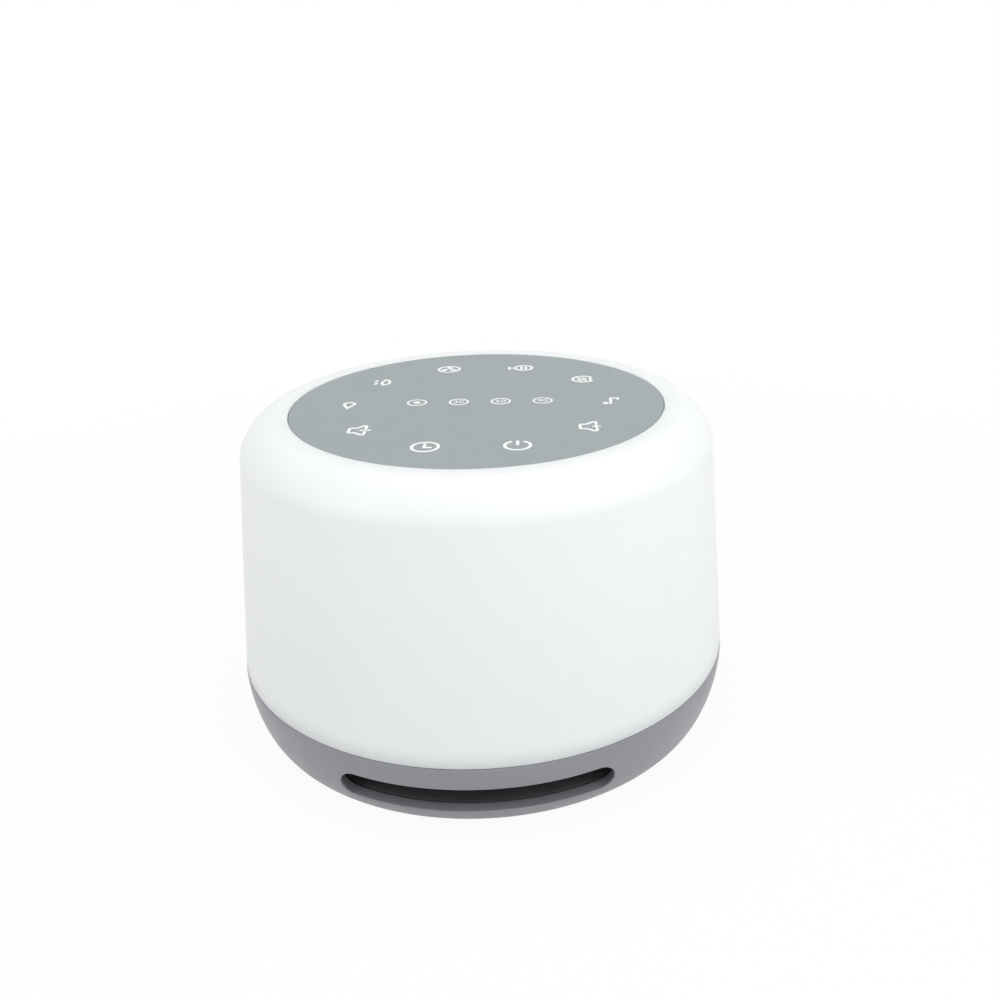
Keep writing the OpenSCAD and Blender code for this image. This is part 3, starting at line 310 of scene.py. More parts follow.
class Finish:
    """A material under way: its shader, and detail laid over it in real sizes."""

    def __init__(self, name, colour, rough, metal=0.0, specular=0.5):
        self.material = bpy.data.materials.new(name)
        self.material.use_nodes = True
        self.tree = self.material.node_tree
        self.shader = self.tree.nodes["Principled BSDF"]
        self.colour = colour
        self.rough = rough
        self.set("Base Color", (*colour, 1))
        self.set("Roughness", rough)
        self.set("Metallic", metal)
        self.set("Specular IOR Level", specular)
        self.set("IOR", 1.5)
        self.material.diffuse_color = (*colour, 1)
        self.where = self.node("TexCoord").outputs["Object"]
        self.normal = None

    def set(self, socket, value):
        self.shader.inputs[socket].default_value = value

    def node(self, kind):
        return self.tree.nodes.new("ShaderNode" + kind)

    def link(self, source, socket):
        self.tree.links.new(source, socket)

    def noise(self, size, detail=2.0, stretch=(1, 1, 1)):
        """Noise whose lumps are about so many millimetres across."""
        spread = self.node("Mapping")
        spread.inputs["Scale"].default_value = [1 / (size * MM * s) for s in stretch]
        lumps = self.node("TexNoise")
        lumps.inputs["Scale"].default_value = 1.0
        lumps.inputs["Detail"].default_value = detail
        self.link(self.where, spread.inputs["Vector"])
        self.link(spread.outputs["Vector"], lumps.inputs["Vector"])
        return lumps.outputs["Fac"]

    def ranged(self, value, low, high, start=0.3, end=0.7):
        """A value from 0 to 1 brought between two numbers."""
        span = self.node("MapRange")
        for socket, number in zip(RANGE_SOCKETS, (start, end, low, high)):
            span.inputs[socket].default_value = number
        self.link(value, span.inputs["Value"])
        return span.outputs["Result"]

    def clouds(self, size, spread, detail=3.0):
        """Slight changes of tone over the surface."""
        mix = self.node("Mix")
        mix.data_type = "RGBA"
        mix.inputs["A"].default_value = (*[c * (1 - spread) for c in self.colour], 1)
        mix.inputs["B"].default_value = (*[min(1, c * (1 + spread)) for c in self.colour], 1)
        self.link(self.ranged(self.noise(size, detail), 0, 1), mix.inputs["Factor"])
        self.link(mix.outputs["Result"], self.shader.inputs["Base Color"])
        return self

    def painted_shade_below(self, low, high, share):
        """Painted shade: the colour falls to a share between two heights, from the higher down to the lower.
        """
        colour = self.shader.inputs["Base Color"].links[0].from_socket
        apart = self.node("SeparateXYZ")
        self.link(self.where, apart.inputs["Vector"])
        level = self.ranged(apart.outputs["Z"], share, 1, (low + FOOT_H) * MM, (high + FOOT_H) * MM)
        level.node.interpolation_type = "SMOOTHSTEP"
        mix = self.node("Mix")
        mix.data_type = "RGBA"
        mix.blend_type = "MULTIPLY"
        mix.inputs["Factor"].default_value = 1.0
        self.link(colour, mix.inputs["A"])
        self.link(level, mix.inputs["B"])
        self.link(mix.outputs["Result"], self.shader.inputs["Base Color"])
        return self

    def sheen_spread(self, size, spread):
        """Slight changes of gloss over the surface."""
        value = self.ranged(self.noise(size, 4.0), self.rough - spread, self.rough + spread)
        self.link(value, self.shader.inputs["Roughness"])
        return self

    def bumps(self, size, depth, detail=1.0, stretch=(1, 1, 1)):
        """Fine relief whose lumps are so wide and so deep, in millimetres."""
        return self.relief(self.noise(size, detail, stretch), depth)

    def relief(self, height, depth):
        """Relief of a given depth in millimetres, over what is there already."""
        bump = self.node("Bump")
        bump.inputs["Distance"].default_value = depth * MM
        bump.inputs["Strength"].default_value = 1.0
        self.link(height, bump.inputs["Height"])
        if self.normal:
            self.link(self.normal, bump.inputs["Normal"])
        self.normal = bump.outputs["Normal"]
        self.link(self.normal, self.shader.inputs["Normal"])
        return self

    def grooves(self, pitch, depth):
        """Wound lines, one above the other."""
        wave = self.node("TexWave")
        wave.bands_direction = "Z"
        wave.inputs["Scale"].default_value = math.pi / WAVE_TURNS / (pitch * MM)
        wave.inputs["Distortion"].default_value = 0.0
        self.link(self.where, wave.inputs["Vector"])
        return self.relief(wave.outputs["Fac"], depth)

    def rings(self, pitch, depth):
        """Turned lines round the upright axis."""
        wave = self.node("TexWave")
        wave.wave_type = "RINGS"
        wave.rings_direction = "Z"
        wave.inputs["Scale"].default_value = math.pi / WAVE_TURNS / (pitch * MM)
        self.link(self.where, wave.inputs["Vector"])
        return self.relief(wave.outputs["Fac"], depth)

    def glow(self, weight, reach):
        """Light that sinks in and comes out again nearby."""
        self.set("Subsurface Weight", weight)
        self.set("Subsurface Radius", (reach * MM, reach * MM, reach * MM))
        self.set("Subsurface Scale", 1.0)
        return self


def drum_opal():
    """Opal plastic with painted shade: darker just above the joint, where the base's lip stands behind the
    wall, and slightly darker from the shoulder down to the lip.
    """
    finish = Finish("drum_opal", paint(238, 241, 242), 0.42, specular=0.4)
    # Painted shade: the colour falls to 0.8 over the few millimetres above the joint, and to 0.95 from the
    # shoulder down to the lip.
    finish.clouds(9, 0.004).painted_shade_below(SEAM_Z - 1, LIP_TOP + 1, 0.8).painted_shade_below(LIP_TOP, SHOULDER_Z, 0.95)
    finish.sheen_spread(6, 0.03).bumps(0.5, 0.004, detail=2)
    return finish.glow(0.35, 4).material


def base_grey():
    finish = Finish("base_grey", paint(134, 136, 141), 0.4, specular=0.55)
    return finish.clouds(7, 0.015).sheen_spread(5, 0.04).bumps(0.35, 0.006, detail=2).material


def panel_grey():
    finish = Finish("panel_grey", paint(150, 159, 160), 0.5, specular=0.35)
    return finish.clouds(8, 0.012).sheen_spread(4, 0.04).bumps(0.22, 0.003, detail=2).material


def sign_white():
    finish = Finish("sign_white", paint(245, 247, 247), 0.5, specular=0.3)
    return finish.clouds(1.5, 0.01).bumps(0.15, 0.002).material


def foot_rubber():
    finish = Finish("foot_rubber", paint(52, 53, 55), 0.78, specular=0.3)
    return finish.clouds(2, 0.08).bumps(0.25, 0.02, detail=3).material


def screw_steel():
    finish = Finish("screw_steel", paint(176, 178, 182), 0.32, metal=1.0)
    return finish.clouds(0.8, 0.06).sheen_spread(0.5, 0.08).bumps(0.12, 0.004, detail=3).material


def duct_black():
    finish = Finish("duct_black", paint(84, 85, 88), 0.62, specular=0.3)
    return finish.clouds(5, 0.1).bumps(0.3, 0.01, detail=2).material


def deck_black():
    finish = Finish("deck_black", paint(34, 35, 38), 0.55, specular=0.4)
    return finish.clouds(6, 0.08).bumps(0.3, 0.01, detail=2).material


def moulded_white():
    finish = Finish("chamber_white", paint(232, 233, 234), 0.5, specular=0.4)
    return finish.clouds(9, 0.01).bumps(0.4, 0.008, detail=2).material


def board_paint(name, colour):
    """Solder mask over tracks that stand a hair proud."""
    finish = Finish(name, colour, 0.34)
    tracks = finish.node("TexBrick")
    tracks.inputs["Scale"].default_value = 1 / (6 * MM)
    tracks.inputs["Mortar Size"].default_value = 0.035
    tracks.inputs["Color1"].default_value = (*colour, 1)
    tracks.inputs["Color2"].default_value = (*[c * 0.9 for c in colour], 1)
    tracks.inputs["Mortar"].default_value = (*[min(1, c * 1.5) for c in colour], 1)
    finish.link(finish.where, tracks.inputs["Vector"])
    finish.link(tracks.outputs["Color"], finish.shader.inputs["Base Color"])
    return finish.relief(tracks.outputs["Fac"], 0.03).bumps(0.4, 0.004).material


def chip_black():
    finish = Finish("chip_black", paint(30, 31, 33), 0.52)
    return finish.clouds(0.6, 0.12).bumps(0.1, 0.006, detail=3).material


def capacitor_can():
    finish = Finish("capacitor_can", paint(188, 190, 194), 0.28, metal=1.0)
    return finish.clouds(1.2, 0.05).bumps(0.3, 0.004, stretch=(1, 1, 0.1)).material


def connector_white():
    finish = Finish("connector_white", paint(228, 224, 210), 0.45)
    return finish.clouds(1.5, 0.03).bumps(0.2, 0.006).material


def inlet_steel():
    finish = Finish("inlet_steel", paint(196, 198, 202), 0.22, metal=1.0)
    return finish.clouds(1, 0.04).sheen_spread(1, 0.06).bumps(0.5, 0.002, stretch=(1, 0.1, 1)).material


def gasket_foam():
    finish = Finish("gasket_foam", paint(44, 44, 46), 0.95, specular=0.1)
    return finish.clouds(0.5, 0.2).bumps(0.3, 0.08, detail=4).material


def surround_rubber():
    finish = Finish("surround_rubber", paint(34, 34, 36), 0.55, specular=0.4)
    return finish.clouds(1.5, 0.06).bumps(0.2, 0.006).material


def pressed_steel(name, colour, rough):
    finish = Finish(name, colour, rough, metal=1.0)
    return finish.clouds(3, 0.05).sheen_spread(2, 0.07).bumps(0.3, 0.006, detail=3).material


def cone_paper():
    finish = Finish("cone_paper", paint(52, 53, 56), 0.9, specular=0.15)
    return finish.clouds(1.2, 0.14, 5).bumps(0.25, 0.05, detail=5).rings(1.6, 0.03).material


def coil_copper():
    finish = Finish("coil_copper", paint(196, 122, 72), 0.3, metal=1.0)
    return finish.clouds(0.6, 0.06).grooves(0.18, 0.04).material


def spider_cloth():
    finish = Finish("spider_cloth", paint(196, 164, 92), 0.85, specular=0.15)
    return finish.clouds(0.8, 0.1).bumps(0.18, 0.05, detail=4).material


def magnet_ferrite():
    finish = Finish("magnet_black", paint(58, 60, 63), 0.6, specular=0.4)
    return finish.clouds(0.7, 0.12).bumps(0.25, 0.02, detail=4).material


def terminal_board():
    finish = Finish("terminal_board", paint(160, 116, 66), 0.6)
    return finish.clouds(0.8, 0.1).bumps(0.2, 0.01, stretch=(4, 1, 1)).material


def lamp_lens():
    finish = Finish("lamp_lens", paint(240, 226, 150), 0.25)
    return finish.clouds(0.8, 0.05).bumps(0.3, 0.006).glow(0.2, 0.5).material


def tape_white():
    finish = Finish("tape_white", paint(220, 220, 214), 0.7, specular=0.2)
    return finish.clouds(1, 0.03).bumps(0.3, 0.02, detail=3).material


def lead_skin(name, colour):
    finish = Finish(name, colour, 0.5, specular=0.4)
    return finish.clouds(2, 0.03).bumps(0.3, 0.006).material


# ---- Drum ----

def drum_profile():
    """The drum's wall: rounded lower edge, tapered wall, shoulder, flat rim and the panel's ledge."""
    low_r = body_r(SEAM_Z)
    wall_z = SEAM_Z + DRUM_EDGE
    recess_r = PANEL_R + PANEL_CLEAR
    wall_steps, inner_steps = 16, 24
    wall = [wall_z + (SHOULDER_Z - wall_z) * i / wall_steps for i in range(1, wall_steps)]
    inner = [LEDGE_LOW + (SHOULDER_Z - LEDGE_LOW) * i / inner_steps for i in range(inner_steps + 1)]
    profile = arc(low_r - DRUM_EDGE, wall_z, DRUM_EDGE, -90, 0, 8)
    profile += [(body_r(z), z) for z in wall] + shoulder_curve(40)
    profile += arc(recess_r + RIM_EDGE, BODY_H - RIM_EDGE, RIM_EDGE, 90, 180, 6)
    profile += [(recess_r, LEDGE_TOP), (LEDGE_R, LEDGE_TOP), (LEDGE_R, LEDGE_LOW)]
    profile += [(body_r(z) - DRUM_WALL, z) for z in inner]
    return profile + [(low_r - DRUM_WALL, SEAM_Z)]


def web(x, y, low, high, reach):
    """An upright web from a post outwards to the wall."""
    out = Vector((x, y)).normalized()
    side = Vector((-out.y, out.x)) * WEB_T / 2
    ends = [Vector((x, y)), out * reach]
    corners = [ends[0] - side, ends[1] - side, ends[1] + side, ends[0] + side]
    points = [(c.x, c.y, z) for z in (low, high) for c in corners]
    faces = [(3, 2, 1, 0), (4, 5, 6, 7)] + [(i, (i + 1) % 4, 4 + (i + 1) % 4, 4 + i) for i in range(4)]
    return as_piece("web", points, faces)


def make_drum():
    drum = turned("drum", drum_profile(), drum_opal(), closed=True)
    posts = [rod("post", POST_R, DECK_TOP, POST_TOP, spot) for spot in SCREW_SPOTS]
    bosses = [rod("boss", BOSS_R, BOSS_LOW, LEDGE_LOW + BOSS_SINK, spot) for spot in BOSS_SPOTS]
    mid_wall = body_r(SEAM_Z) - DRUM_WALL / 2
    webs = [web(*spot, LIP_TOP + WEB_INSET, POST_TOP - WEB_INSET, mid_wall) for spot in SCREW_SPOTS]
    carved(drum, together("bosses", bosses), "UNION")
    carved(drum, together("webs", webs), "UNION")
    carved(drum, together("posts", posts), "UNION")
    bore_r = SCREW_R + SCREW_CLEAR
    bores = [rod("bore", bore_r, DECK_TOP - CUT_OVER, POST_TOP - POST_ROOF, spot) for spot in SCREW_SPOTS]
    bores += [rod("bore", SMALL_BORE, BOSS_LOW - CUT_OVER, LEDGE_LOW, spot) for spot in BOSS_SPOTS]
    carved(drum, together("bores", bores), "DIFFERENCE")
    return place(drum, "root", "drum_opal", "diffuser_drum")


# ---- Base ----

PATCH_TURN = math.radians(7)
PATCH_COLUMNS = 6
PATCH_ROWS = 12
PATCH_RINGS = 6
PATCH_EDGE = SLOT_H / 2 + SLOT_FLARE + SLOT_MARGIN
SLOT_COLUMNS = 56
REST_COLUMNS = 220


def inner_r(z):
    """Radius of the base's inner wall at a height below the lip."""
    return body_r(z) - BASE_WALL


def spun(r, z, turn):
    """A point at a turn from the front."""
    return (r * math.sin(turn), -r * math.cos(turn), z)


def slot_turns():
    """Turns of the columns between the centres of the slot's round ends."""
    return [-SLOT_ANGLE + 2 * SLOT_ANGLE * i / SLOT_COLUMNS for i in range(SLOT_COLUMNS)]


def slot_outline(grow):
    """X and height of points round the slot: over the top, round an end, back below, round the other end."""
    half = SLOT_H / 2 + grow
    first = [(SLOT_REACH * math.sin(turn) / math.sin(SLOT_ANGLE), half) for turn in slot_turns()]
    first += arc(SLOT_REACH, 0, half, 90, -90, 2 * PATCH_COLUMNS + PATCH_ROWS)[:-1]
    return [(x, SLOT_Z + h) for x, h in first + [(-x, -h) for x, h in first]]


def patch_border(low, high):
    """Turn and height of the points on the patch's border that go with the outline's points."""
    edge = SLOT_ANGLE + PATCH_TURN
    first = [(turn, high) for turn in slot_turns()]
    first += [(SLOT_ANGLE + PATCH_TURN * i / PATCH_COLUMNS, high) for i in range(PATCH_COLUMNS)]
    first += [(edge, high + (low - high) * i / PATCH_ROWS) for i in range(PATCH_ROWS)]
    first += [(edge - PATCH_TURN * i / PATCH_COLUMNS, low) for i in range(PATCH_COLUMNS)]
    return first + [(-turn, low + high - z) for turn, z in first]


def column_turns():
    """Turns of the base's columns, matched to the slot's patch."""
    edge = SLOT_ANGLE + PATCH_TURN
    turns = slot_turns()
    turns += [SLOT_ANGLE + PATCH_TURN * i / PATCH_COLUMNS for i in range(PATCH_COLUMNS)]
    turns += [edge + (2 * math.pi - 2 * edge) * i / REST_COLUMNS for i in range(REST_COLUMNS)]
    turns += [2 * math.pi - edge + PATCH_TURN * i / PATCH_COLUMNS for i in range(PATCH_COLUMNS)]
    return turns


OUTER_PATCH = (SLOT_Z - PATCH_EDGE, SLOT_Z + PATCH_EDGE)
INNER_PATCH = (FLOOR_T + SLOT_SILL, SLOPE_Z)


def patch_heights(low, high):
    return [low + (high - low) * i / PATCH_ROWS for i in range(PATCH_ROWS + 1)]


def base_rows():
    """Rows of the base's section from the underside's middle, round the lip, to the floor's middle.
    The rows of the outer and the inner patch are told by their first index."""
    low, high = OUTER_PATCH
    flat_rows, curve_rows, upper_rows = 6, 10, 8
    edge_z = BASE_TOP - BASE_EDGE
    round_z = LIP_TOP - LIP_ROUND
    rows = [(UNDER_R * i / flat_rows, 0) for i in range(flat_rows)]
    rows += [(body_r(z), z) for z in [low * (i / curve_rows) ** 2 for i in range(curve_rows)]]
    outer = len(rows)
    rows += [(body_r(z), z) for z in patch_heights(low, high)]
    upper = [high + (edge_z - high) * i / upper_rows for i in range(1, upper_rows + 1)]
    rows += [(body_r(z), z) for z in upper]
    rows += arc(body_r(edge_z) - BASE_EDGE, edge_z, BASE_EDGE, 15, 90, 4)
    rows += [(LIP_R, BASE_TOP)]
    rows += arc(LIP_R - LIP_ROUND, round_z, LIP_ROUND, 0, 90, 4)
    rows += arc(LIP_IN_R + LIP_ROUND, round_z, LIP_ROUND, 90, 180, 4)
    rows += [(LIP_IN_R, LIP_FOOT)]
    inner = len(rows)
    rows += [(inner_r(z), z) for z in reversed(patch_heights(*INNER_PATCH))]
    rows += [(inner_r(FLOOR_T), FLOOR_T)]
    rows += [(UNDER_R * i / flat_rows, FLOOR_T) for i in range(flat_rows - 1, -1, -1)]
    return rows, outer, inner


class SlotShell:
    """The base's shell as one closed mesh with the sound slot through it."""

    def __init__(self):
        self.turns = column_turns()
        self.rows, self.outer, self.inner = base_rows()
        self.points = []
        self.faces = []
        self.grid = []
        for r, z in self.rows:
            if r == 0:
                self.grid.append([self.add((0, 0, z))] * len(self.turns))
            else:
                self.grid.append([self.add(spun(r, z, turn)) for turn in self.turns])

    def add(self, point):
        self.points.append(point)
        return len(self.points) - 1

    def in_patch(self, row, column):
        """Whether a cell of the grid belongs to the patch round the slot."""
        count = len(self.turns)
        level = any(start <= row < start + PATCH_ROWS for start in (self.outer, self.inner))
        return level and (column < SLOT_COLUMNS + PATCH_COLUMNS or column >= count - PATCH_COLUMNS)

    def cells(self):
        """Faces of the grid outside the patches."""
        count = len(self.turns)
        for i in range(len(self.rows) - 1):
            for j in range(count):
                if self.in_patch(i, j):
                    continue
                k = (j + 1) % count
                face = (self.grid[i][j], self.grid[i][k], self.grid[i + 1][k], self.grid[i + 1][j])
                self.faces.append(tuple(dict.fromkeys(face)))

    def border(self, first_row, upward):
        """Indices of the border's points, in the order of patch_border()."""
        count = len(self.turns)
        high = first_row + PATCH_ROWS if upward else first_row
        low = first_row if upward else first_row + PATCH_ROWS
        step = -1 if upward else 1
        right = SLOT_COLUMNS + PATCH_COLUMNS
        left = count - PATCH_COLUMNS
        ring = [self.grid[high][j] for j in range(right)]
        ring += [self.grid[high + step * i][right] for i in range(PATCH_ROWS)]
        ring += [self.grid[low][j] for j in range(right, 0, -1)]
        ring += [self.grid[low][j % count] for j in range(count, left, -1)]
        ring += [self.grid[low - step * i][left] for i in range(PATCH_ROWS)]
        ring += [self.grid[high][j] for j in range(left, count)]
        return ring

    def strip(self, ring, next_ring):
        """Faces between two rings round the slot."""
        count = len(ring)
        for i in range(count):
            k = (i + 1) % count
            self.faces.append((ring[i], ring[k], next_ring[k], next_ring[i]))
        return next_ring

    def patch(self, first_row, upward, heights, grow, radius):
        """Rings from the patch's border to the slot's outline, on the skin or on the inner wall."""
        ring = self.border(first_row, upward)
        outline = [(math.asin(x / radius(z)), z) for x, z in slot_outline(grow)]
        for m in range(1, PATCH_RINGS + 1):
            share = 1 - (1 - m / PATCH_RINGS) ** 1.5
            spots = [(b[0] + (o[0] - b[0]) * share, b[1] + (o[1] - b[1]) * share)
                     for b, o in zip(patch_border(*heights), outline)]
            ring = self.strip(ring, [self.add(spun(radius(z), z, turn)) for turn, z in spots])
        return ring

    def flare(self, ring, steps=6):
        """The bell-mouthed edge: each ring turns from the skin into the level tunnel."""
        for i in range(steps - 1, -1, -1):
            a = math.pi / 2 * i / steps
            outline = slot_outline(SLOT_FLARE * (1 - math.cos(a)))
            depth = SLOT_FLARE * (1 - math.sin(a))
            spots = [(x, depth - math.sqrt(body_r(z) ** 2 - x * x), z) for x, z in outline]
            ring = self.strip(ring, [self.add(spot) for spot in spots])
        return ring


def make_base_shell(material):
    shell = SlotShell()
    shell.cells()
    mouth = shell.flare(shell.patch(shell.outer, True, OUTER_PATCH, SLOT_FLARE, body_r))
    shell.strip(mouth, shell.patch(shell.inner, False, INNER_PATCH, 0, inner_r))
    return as_piece("base", shell.points, shell.faces, material)


def inlet_block():
    """The solid block behind the inlet, from its pocket's back to the middle of the wall."""
    half_w = POCKET[0] / 2 + INLET_WALL
    half_h = (PILLAR_TOP - FLOOR_T / 2) / 2
    outline = [(-half_w, -half_h), (half_w, -half_h), (half_w, half_h), (-half_w, half_h)]
    block = bar("block", outline, INLET_Y - INLET_WALL, WIDE_R, FLOOR_T / 2 + half_h)
    steps = 24
    core_z = [FLOOR_T / 2 + (BASE_TOP - FLOOR_T / 2) * i / steps for i in range(steps + 1)]
    wall = [(body_r(z) - BASE_WALL / 2, z) for z in core_z]
    return carved(block, turned("core", [(0, core_z[0])] + wall + [(0, BASE_TOP)]), "INTERSECT")


def screw_sink(spot):
    """The stepped hole of a base screw, from the underside to above its pillar."""
    head_r = SCREW_HEAD_R + HEAD_CLEAR
    shank_r = SCREW_R + SCREW_CLEAR
    top = PILLAR_TOP + CUT_OVER
    profile = [(0, -CUT_OVER), (head_r, -CUT_OVER), (head_r, SCREW_HEAD_Z), (shank_r, SCREW_HEAD_Z),
               (shank_r, top), (0, top)]
    return turned("sink", profile, None, 48, spot)


def foot_recess(turn):
    spot = (FOOT_RING_R * math.cos(turn), FOOT_RING_R * math.sin(turn))
    return rod("recess", FOOT_R + FOOT_CLEAR, -CUT_OVER, FOOT_IN, spot, 64)


def make_base():
    base = make_base_shell(base_grey())
    pillars = [rod("pillar", PILLAR_R, FLOOR_T / 2, PILLAR_TOP, spot) for spot in SCREW_SPOTS]
    posts = [rod("post", BOARD_POST_R, FLOOR_T / 2, BOARD_TOP_Z, spot) for spot in BOARD_SPOTS]
    carved(base, together("pillars", pillars + posts), "UNION")
    carved(base, inlet_block(), "UNION")
    cuts = [bar("pocket", racetrack(*POCKET), INLET_Y, WIDE_R + CUT_OVER, INLET_Z)]
    cuts += [screw_sink(spot) for spot in SCREW_SPOTS]
    cuts += [rod("pilot", SMALL_BORE, FLOOR_T / 2, BOARD_TOP_Z + CUT_OVER, spot, 32) for spot in BOARD_SPOTS]
    cuts += [foot_recess(2 * math.pi * i / FOOT_COUNT) for i in range(FOOT_COUNT)]
    carved(base, together("cuts", cuts), "DIFFERENCE")
    window_y = (INLET_Y - INLET_WALL - CUT_OVER, INLET_Y + CUT_OVER)
    carved(base, bar("window", racetrack(*WINDOW), *window_y, INLET_Z), "DIFFERENCE")
    return place(base, "root", "base_grey", "base_housing")


# ---- What repeats ----

INPUT_KINDS = {"Piece": "Object", "Material": "Material", "Count": "Int"}


def repeat_tree(name, *sizes):
    """A tree of geometry nodes that sets one piece on every spot of a ring or a two by two grid."""
    tree = bpy.data.node_groups.new(name, "GeometryNodeTree")
    face = tree.interface
    face.new_socket("Geometry", in_out="OUTPUT", socket_type="NodeSocketGeometry")
    for label in ("Piece", "Material", "Height", *sizes):
        kind = "NodeSocket" + INPUT_KINDS.get(label, "Float")
        face.new_socket(label, in_out="INPUT", socket_type=kind)
    make = tree.nodes.new
    link = tree.links.new
    given = make("NodeGroupInput").outputs
    move = make("GeometryNodeTransform")
    lift = make("ShaderNodeCombineXYZ")
    link(given["Height"], lift.inputs["Z"])
    link(lift.outputs["Vector"], move.inputs["Translation"])
    if "Count" in sizes:
        where = make("GeometryNodeMeshCircle")
        link(given["Count"], where.inputs["Vertices"])
        link(given["Radius"], where.inputs["Radius"])
    else:
        where = make("GeometryNodeMeshGrid")
        where.inputs["Vertices X"].default_value = 2
        where.inputs["Vertices Y"].default_value = 2
        link(given["Width"], where.inputs["Size X"])
        link(given["Depth"], where.inputs["Size Y"])
    source = make("GeometryNodeObjectInfo")
    stand = make("GeometryNodeInstanceOnPoints")
    real = make("GeometryNodeRealizeInstances")
    coat = make("GeometryNodeSetMaterial")
    link(given["Piece"], source.inputs["Object"])
    link(where.outputs["Mesh"], move.inputs["Geometry"])
    link(move.outputs["Geometry"], stand.inputs["Points"])
    link(source.outputs["Geometry"], stand.inputs["Instance"])
    link(stand.outputs["Instances"], real.inputs["Geometry"])
    link(real.outputs["Geometry"], coat.inputs["Geometry"])
    link(given["Material"], coat.inputs["Material"])
    link(coat.outputs["Geometry"], make("NodeGroupOutput").inputs["Geometry"])
    return tree


def repeated(name, tree, one, material, **sizes):
    """One piece repeated by a tree, as a plain mesh. The single piece is removed."""
    holder = bpy.data.objects.new(name, bpy.data.meshes.new(name))
    bpy.context.scene.collection.objects.link(holder)
    change = holder.modifiers.new(name, "NODES")
    change.node_group = tree
    given = {"Piece": one, "Material": material, **sizes}
    for item in tree.interface.items_tree:
        if item.in_out == "INPUT":
            change[item.identifier] = given[item.name]
    settle(holder)
    bpy.data.objects.remove(one)
    shade(holder.data)
    return holder


def make_feet(ring):
    """Rubber feet with a rounded tread edge and a shallow dished face."""
    profile = [(0, -FOOT_H + FOOT_DISH), (FOOT_R * 0.6, -FOOT_H + FOOT_DISH - 0.02), (FOOT_R * 0.72, -FOOT_H)]
    profile += arc(FOOT_R - FOOT_EDGE, -FOOT_H + FOOT_EDGE, FOOT_EDGE, -90, 0, 6)
    profile += [(FOOT_R, FOOT_IN), (0, FOOT_IN)]
    foot = turned("foot", [(r, z - FOOT_H) for r, z in profile], None, 96)
    feet = repeated("feet", ring, foot, foot_rubber(), Count=FOOT_COUNT, Radius=FOOT_RING_R * MM,
                    Height=FOOT_H * MM)
    return place(feet, "root", "foot_rubber", "rubber_feet")


def screw_profile():
    """A pan head with a rounded crown, below a threaded shank that tapers to a point."""
    r = SCREW_R
    core = 0.86 * r
    crown = [(SCREW_HEAD_R * math.sin(a), -SCREW_HEAD_H * (0.35 + 0.65 * math.cos(a)))
             for a in [math.pi / 2 * i / 10 for i in range(11)]]
    thread = []
    for i in range(int((SCREW_LENGTH - r) / THREAD_PITCH)):
        z = 0.3 + i * THREAD_PITCH
        thread += [(core, z), (r, z + 0.25), (core, z + 0.5)]
    point = [(0.4 * r, SCREW_LENGTH - 0.3), (0, SCREW_LENGTH)]
    return crown + [(SCREW_HEAD_R, 0), (0.9 * r, 0)] + thread + point


def cross_bit(r):
    """A cross with tapered arms, to sink a driver recess."""
    arm, half = 1.05 * r, 0.22 * r
    outline = [(arm, -half), (arm, half), (half, half), (half, arm), (-half, arm), (-half, half),
               (-arm, half), (-arm, -half), (-half, -half), (-half, -arm), (half, -arm), (half, -half)]
    points = [(x, y, -2 * r) for x, y in outline]
    points += [(x * 0.5, y * 0.8, CROSS_DEPTH - SCREW_HEAD_H) for x, y in outline]
    faces = [tuple(range(12)), tuple(range(23, 11, -1))]
    faces += [(i, (i + 1) % 12, 12 + (i + 1) % 12, 12 + i) for i in range(12)]
    return as_piece("bit", points, faces)


def make_base_screws(grid):
    one = turned("screw", screw_profile(), None, 48)
    carved(one, cross_bit(SCREW_R), "DIFFERENCE")
    x, y = (abs(v) for v in SCREW_SPOTS[0])
    screws = repeated("base_screw_set", grid, one, screw_steel(), Width=2 * x * MM, Depth=2 * y * MM,
                      Height=SCREW_HEAD_Z * MM)
    return place(screws, "root", "screw_steel", "base_screws")


# ---- Signs on the panel ----

def band(points, width, closed):
    """The two edges of a flat line, with mitred corners."""
    count = len(points)
    pts = [Vector(p) for p in points]
    left, right = [], []
    for i in range(count):
        before = pts[i - 1] if closed or i else None
        after = pts[(i + 1) % count] if closed or i < count - 1 else None
        steps = ((before, pts[i]), (pts[i], after))
        ways = [(b - a).normalized() for a, b in steps if a is not None and b is not None]
        way = sum(ways, Vector((0, 0))).normalized()
        side = Vector((-way.y, way.x))
        stretch = 1 / max(0.45, side.dot(Vector((-ways[0].y, ways[0].x))))
        left.append(pts[i] + side * width / 2 * stretch)
        right.append(pts[i] - side * width / 2 * stretch)
    return left, right


def stroke(made, points, width, closed):
    """A raised line of a given width, joined into a ring or with round ends."""
    left, right = band(points, width, closed)
    if closed:
        return plate(made, left, right)
    caps = []
    for end, other in ((-1, -2), (0, 1)):
        way = Vector(points[end]) - Vector(points[other])
        start = math.degrees(math.atan2(way.y, way.x)) - 90
        caps.append([Vector(p) for p in arc(*points[end], width / 2, start, start + 180, 8)[1:-1]])
    return plate(made, right + caps[0] + left[::-1] + caps[1])


def plate(made, outline, hole=None):
    """A thin raised plate on the panel from a flat outline, or from two outlines that make a ring."""
    heights = [(z + FOOT_H) * MM for z in (PANEL_TOP - 0.01, PANEL_TOP + SIGN_T)]
    count = len(outline)
    loops = [[[made.verts.new((p.x * MM, p.y * MM, z)) for p in edge] for z in heights]
             for edge in ([outline, hole] if hole else [outline])]
    pairs = [(loop[0], loop[1]) for loop in loops]
    if hole:
        pairs += [(loops[0][0], loops[1][0]), (loops[0][1], loops[1][1])]
    else:
        made.faces.new(loops[0][0])
        made.faces.new(loops[0][1])
    for low, high in pairs:
        for i in range(count):
            k = (i + 1) % count
            made.faces.new((low[i], low[k], high[k], high[i]))


